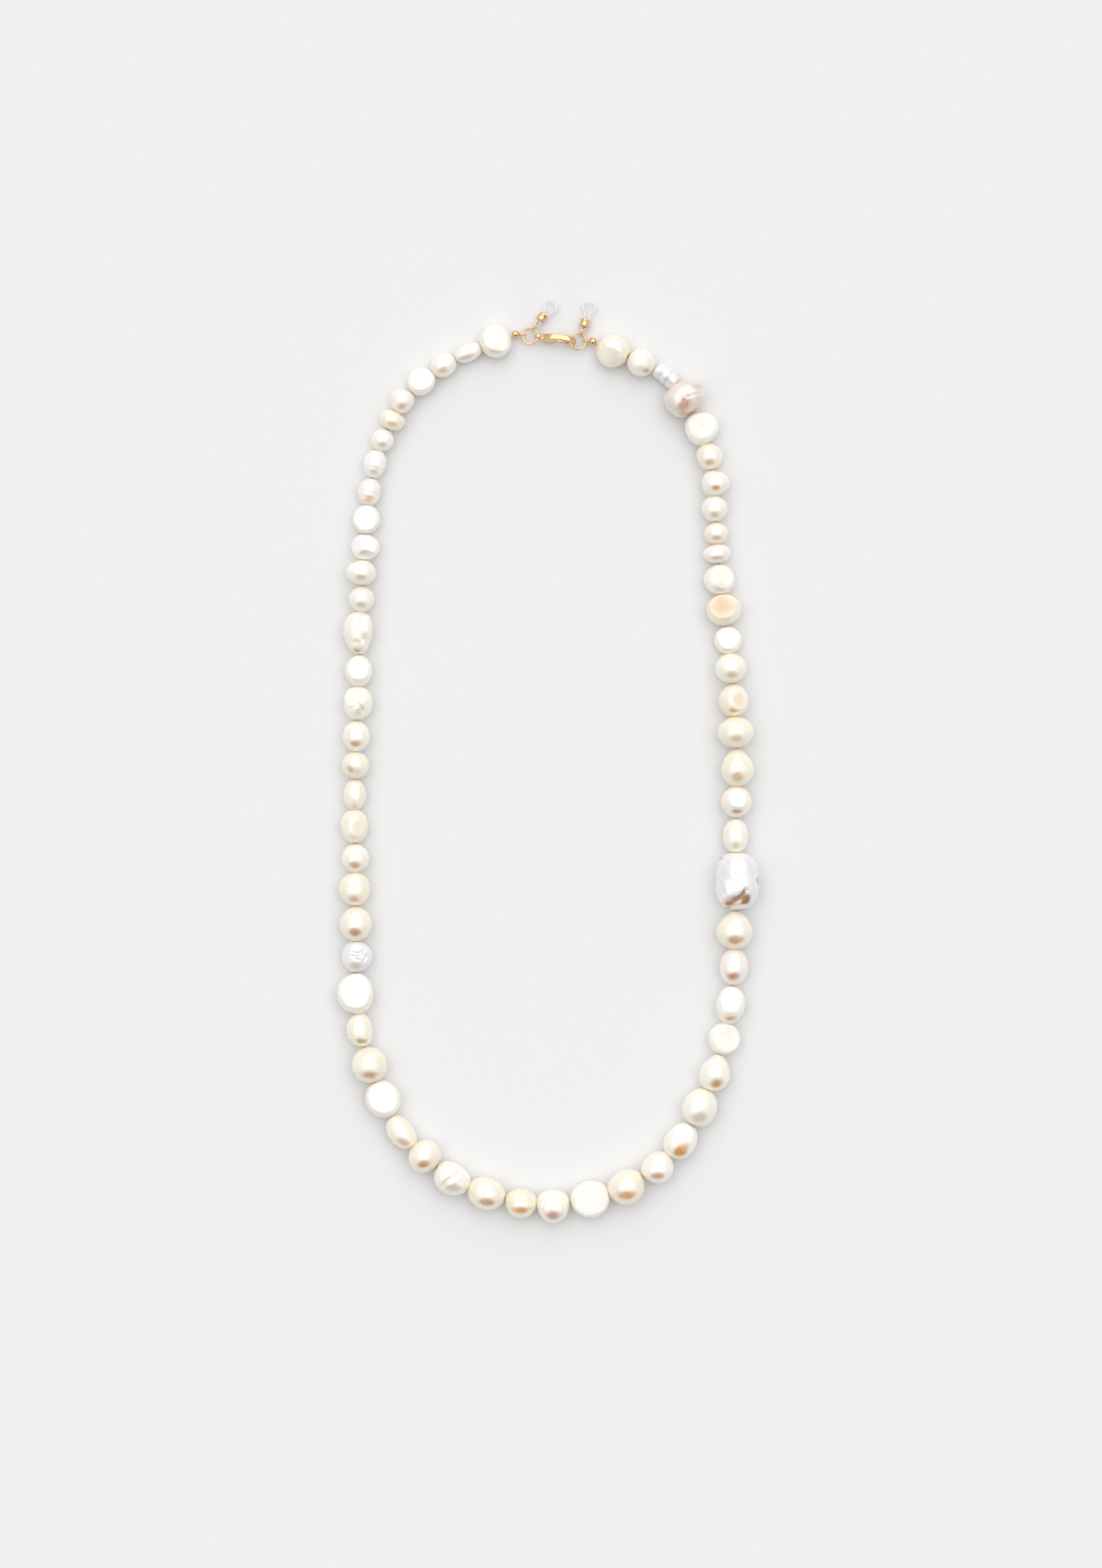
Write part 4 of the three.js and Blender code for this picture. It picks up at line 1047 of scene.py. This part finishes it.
def add_clasp():
    body = [(0.9, -0.72), (0.9, 0.72)]
    body += bezier((0.9, 0.72), (2.6, 1.1), (3.6, 2.5), (6.4, 2.5))
    body += bezier((6.4, 2.5), (9.6, 2.5), (12.4, 1.8), (12.4, -0.2))
    body += bezier((12.4, -0.2), (12.4, -1.4), (11.9, -2.1), (11.1, -2.3), 8)
    body += [(10.5, -1.5)]
    body += bezier((10.5, -1.5), (11.2, -1.2), (11.5, -0.7), (11.5, -0.1), 8)
    body += bezier((11.5, -0.1), (11.5, 1), (9.4, 1.5), (6.9, 1.5))
    body += bezier((6.9, 1.5), (5.9, 1.5), (5.5, 1), (5.4, 0.2), 8)
    body += [(5.1, -1.7), (4.6, -2.05), (4, -2.2), (2.2, -1.6)]
    shell = plate("clasp_shell", [body], CLASP_THICKNESS, 0.42)
    eye = plate("clasp_eye", [circle(0, 0, 1.35), circle(0, 0, 0.75)], EYE_THICKNESS, 0.22)
    combine(shell, eye, "UNION")
    combine(shell, block(1.9, 5.45, -3.4, 0.2, -0.55, 0.55), "DIFFERENCE")
    combine(shell, plate("pin_hole", [circle(*LEVER_PIVOT, LEVER_HOLE - 0.08, 24)], 5, 0.01), "DIFFERENCE")
    finish_clasp_piece(shell, "clasp_body", GOLD, "gold", "clasp")

    lever = [(4.3, -0.95)]
    lever += [(LEVER_PIVOT[0] + 0.75 * math.cos(a), LEVER_PIVOT[1] + 0.75 * math.sin(a))
              for a in np.linspace(0, math.pi, 14)]
    lever += [(2.3, -2.6), (2.45, -2.85), (2.75, -2.95), (3.05, -2.75), (3.9, -1.78), (6, -2.05)]
    lever += [(9.9, -2.32), (10.2, -2.22), (10.15, -1.8), (9.95, -1.62), (5.6, -1.05)]
    gate = plate("lever", [lever, circle(*LEVER_PIVOT, LEVER_HOLE - 0.06, 24)], LEVER_THICKNESS, 0.14)
    finish_clasp_piece(gate, "clasp_lever", GOLD, "gold", "lever")

    half = PIN_LENGTH / 2
    head = [(0.002, -half), (0.2, -half), (PIN_RADIUS, -half + 0.08), (PIN_RADIUS, half - 0.08), (0.2, half),
            (0.002, half)]
    pin = revolved("clasp_pin_mesh", head, Matrix.Identity(4), GOLD, 24)
    pivot = Matrix.Translation(Vector((*LEVER_PIVOT, 0)) * MM)
    pin.data.transform(pivot @ Matrix.Rotation(math.pi / 2, 4, "X"))
    finish_clasp_piece(pin, "clasp_pin", GOLD, "gold", "clasp")

    leaf = [(4.5, -0.14), (4.85, -0.04), (5.25, 0.05), (5.25, -0.07), (4.85, -0.17), (4.72, -0.22),
            (4.9, -0.36), (5.25, -0.52), (5.25, -0.64), (4.8, -0.44), (4.5, -0.26)]
    finish_clasp_piece(plate("leaf", [leaf], 0.55, 0.03), "clasp_spring", STEEL, "spring_steel", "clasp")


add_clasp()

# ---------------------------------------------------------------- glasses holders

SILICONE_RADIUS = 0.4 * MM
HOLDER = {"length": 9.8, "leg": 0.75, "neck": 5.7, "belly": 2.15}
HOLDER_DROP = math.radians(4)
HOLDER_START = 0.45 * MM
TIE_REACH = 0.7 * MM
CINCH = {"inner": 1.3, "outer": 1.6, "length": 2.4}


def rounded_end(share):
    within = min(max(share, 0.0), 1.0)
    return math.sqrt(within * (2 - within))


def holder_outline(turn):
    along = HOLDER["length"] / 2 * (1 - math.cos(turn))
    u = min(max((along - HOLDER["neck"]) / (HOLDER["length"] - HOLDER["belly"] - HOLDER["neck"]), 0), 1)
    opening = u * u * (3 - 2 * u)
    base = HOLDER["leg"] * rounded_end(along / HOLDER["leg"])
    widest = HOLDER["belly"] * rounded_end((HOLDER["length"] - along) / HOLDER["belly"])
    half = min(base + (HOLDER["belly"] - HOLDER["leg"]) * opening, widest)
    return Vector((along, half if math.sin(turn) >= 0 else -half, 0)) * MM


def add_holder(side, cinch_at):
    on_ring = joint_place(f"tie_{side}_swing")
    lift = Vector(JOINTS[f"tie_{side}_swing"]["axis"])
    direction = UP.cross(lift).normalized()
    centre = on_ring + direction * TIE_REACH
    tie = tube(f"gold_tie_ring_{side}", arc(centre, direction, UP, TIE_RADIUS, 100, 357, 60), TIE_WIRE,
               GOLD)
    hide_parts(f"tie_ring_{side}")
    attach(tie, f"tie_{side}")

    heading = math.atan2(direction.y, direction.x)
    place = (Matrix.Translation(centre + direction * HOLDER_START) @ Matrix.Rotation(heading, 4, "Z")
             @ Matrix.Rotation(HOLDER_DROP, 4, "Y"))
    points = [place @ holder_outline(2 * math.pi * k / 96) for k in range(96)]
    loop = tube(f"silicone_loop_{side}", points, SILICONE_RADIUS, SILICONE, sides=18, closed=True)
    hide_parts(f"silicone_holder_{side}")
    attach(loop, f"holder_{side}")

    inner, outer, half = CINCH["inner"], CINCH["outer"], CINCH["length"] / 2
    lip = 0.12
    profile = [(inner, -half + lip), (inner + lip, -half), (outer - lip, -half), (outer, -half + lip),
               (outer, -half + 4 * lip), (outer - 0.05, -half + 4.5 * lip), (outer - 0.05, half - 4.5 * lip),
               (outer, half - 4 * lip), (outer, half - lip), (outer - lip, half), (inner + lip, half),
               (inner, half - lip)]
    stand = place @ Matrix.Translation(Vector((cinch_at, 0, 0)) * MM) @ Matrix.Rotation(-math.pi / 2, 4, "Z")
    cinch = revolved(f"gold_cinch_{side}", profile, stand, GOLD)
    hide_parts(f"cinch_{side}")
    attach(cinch, f"cinch_{side}")


add_holder("left", 3.5)
add_holder("right", 2.6)
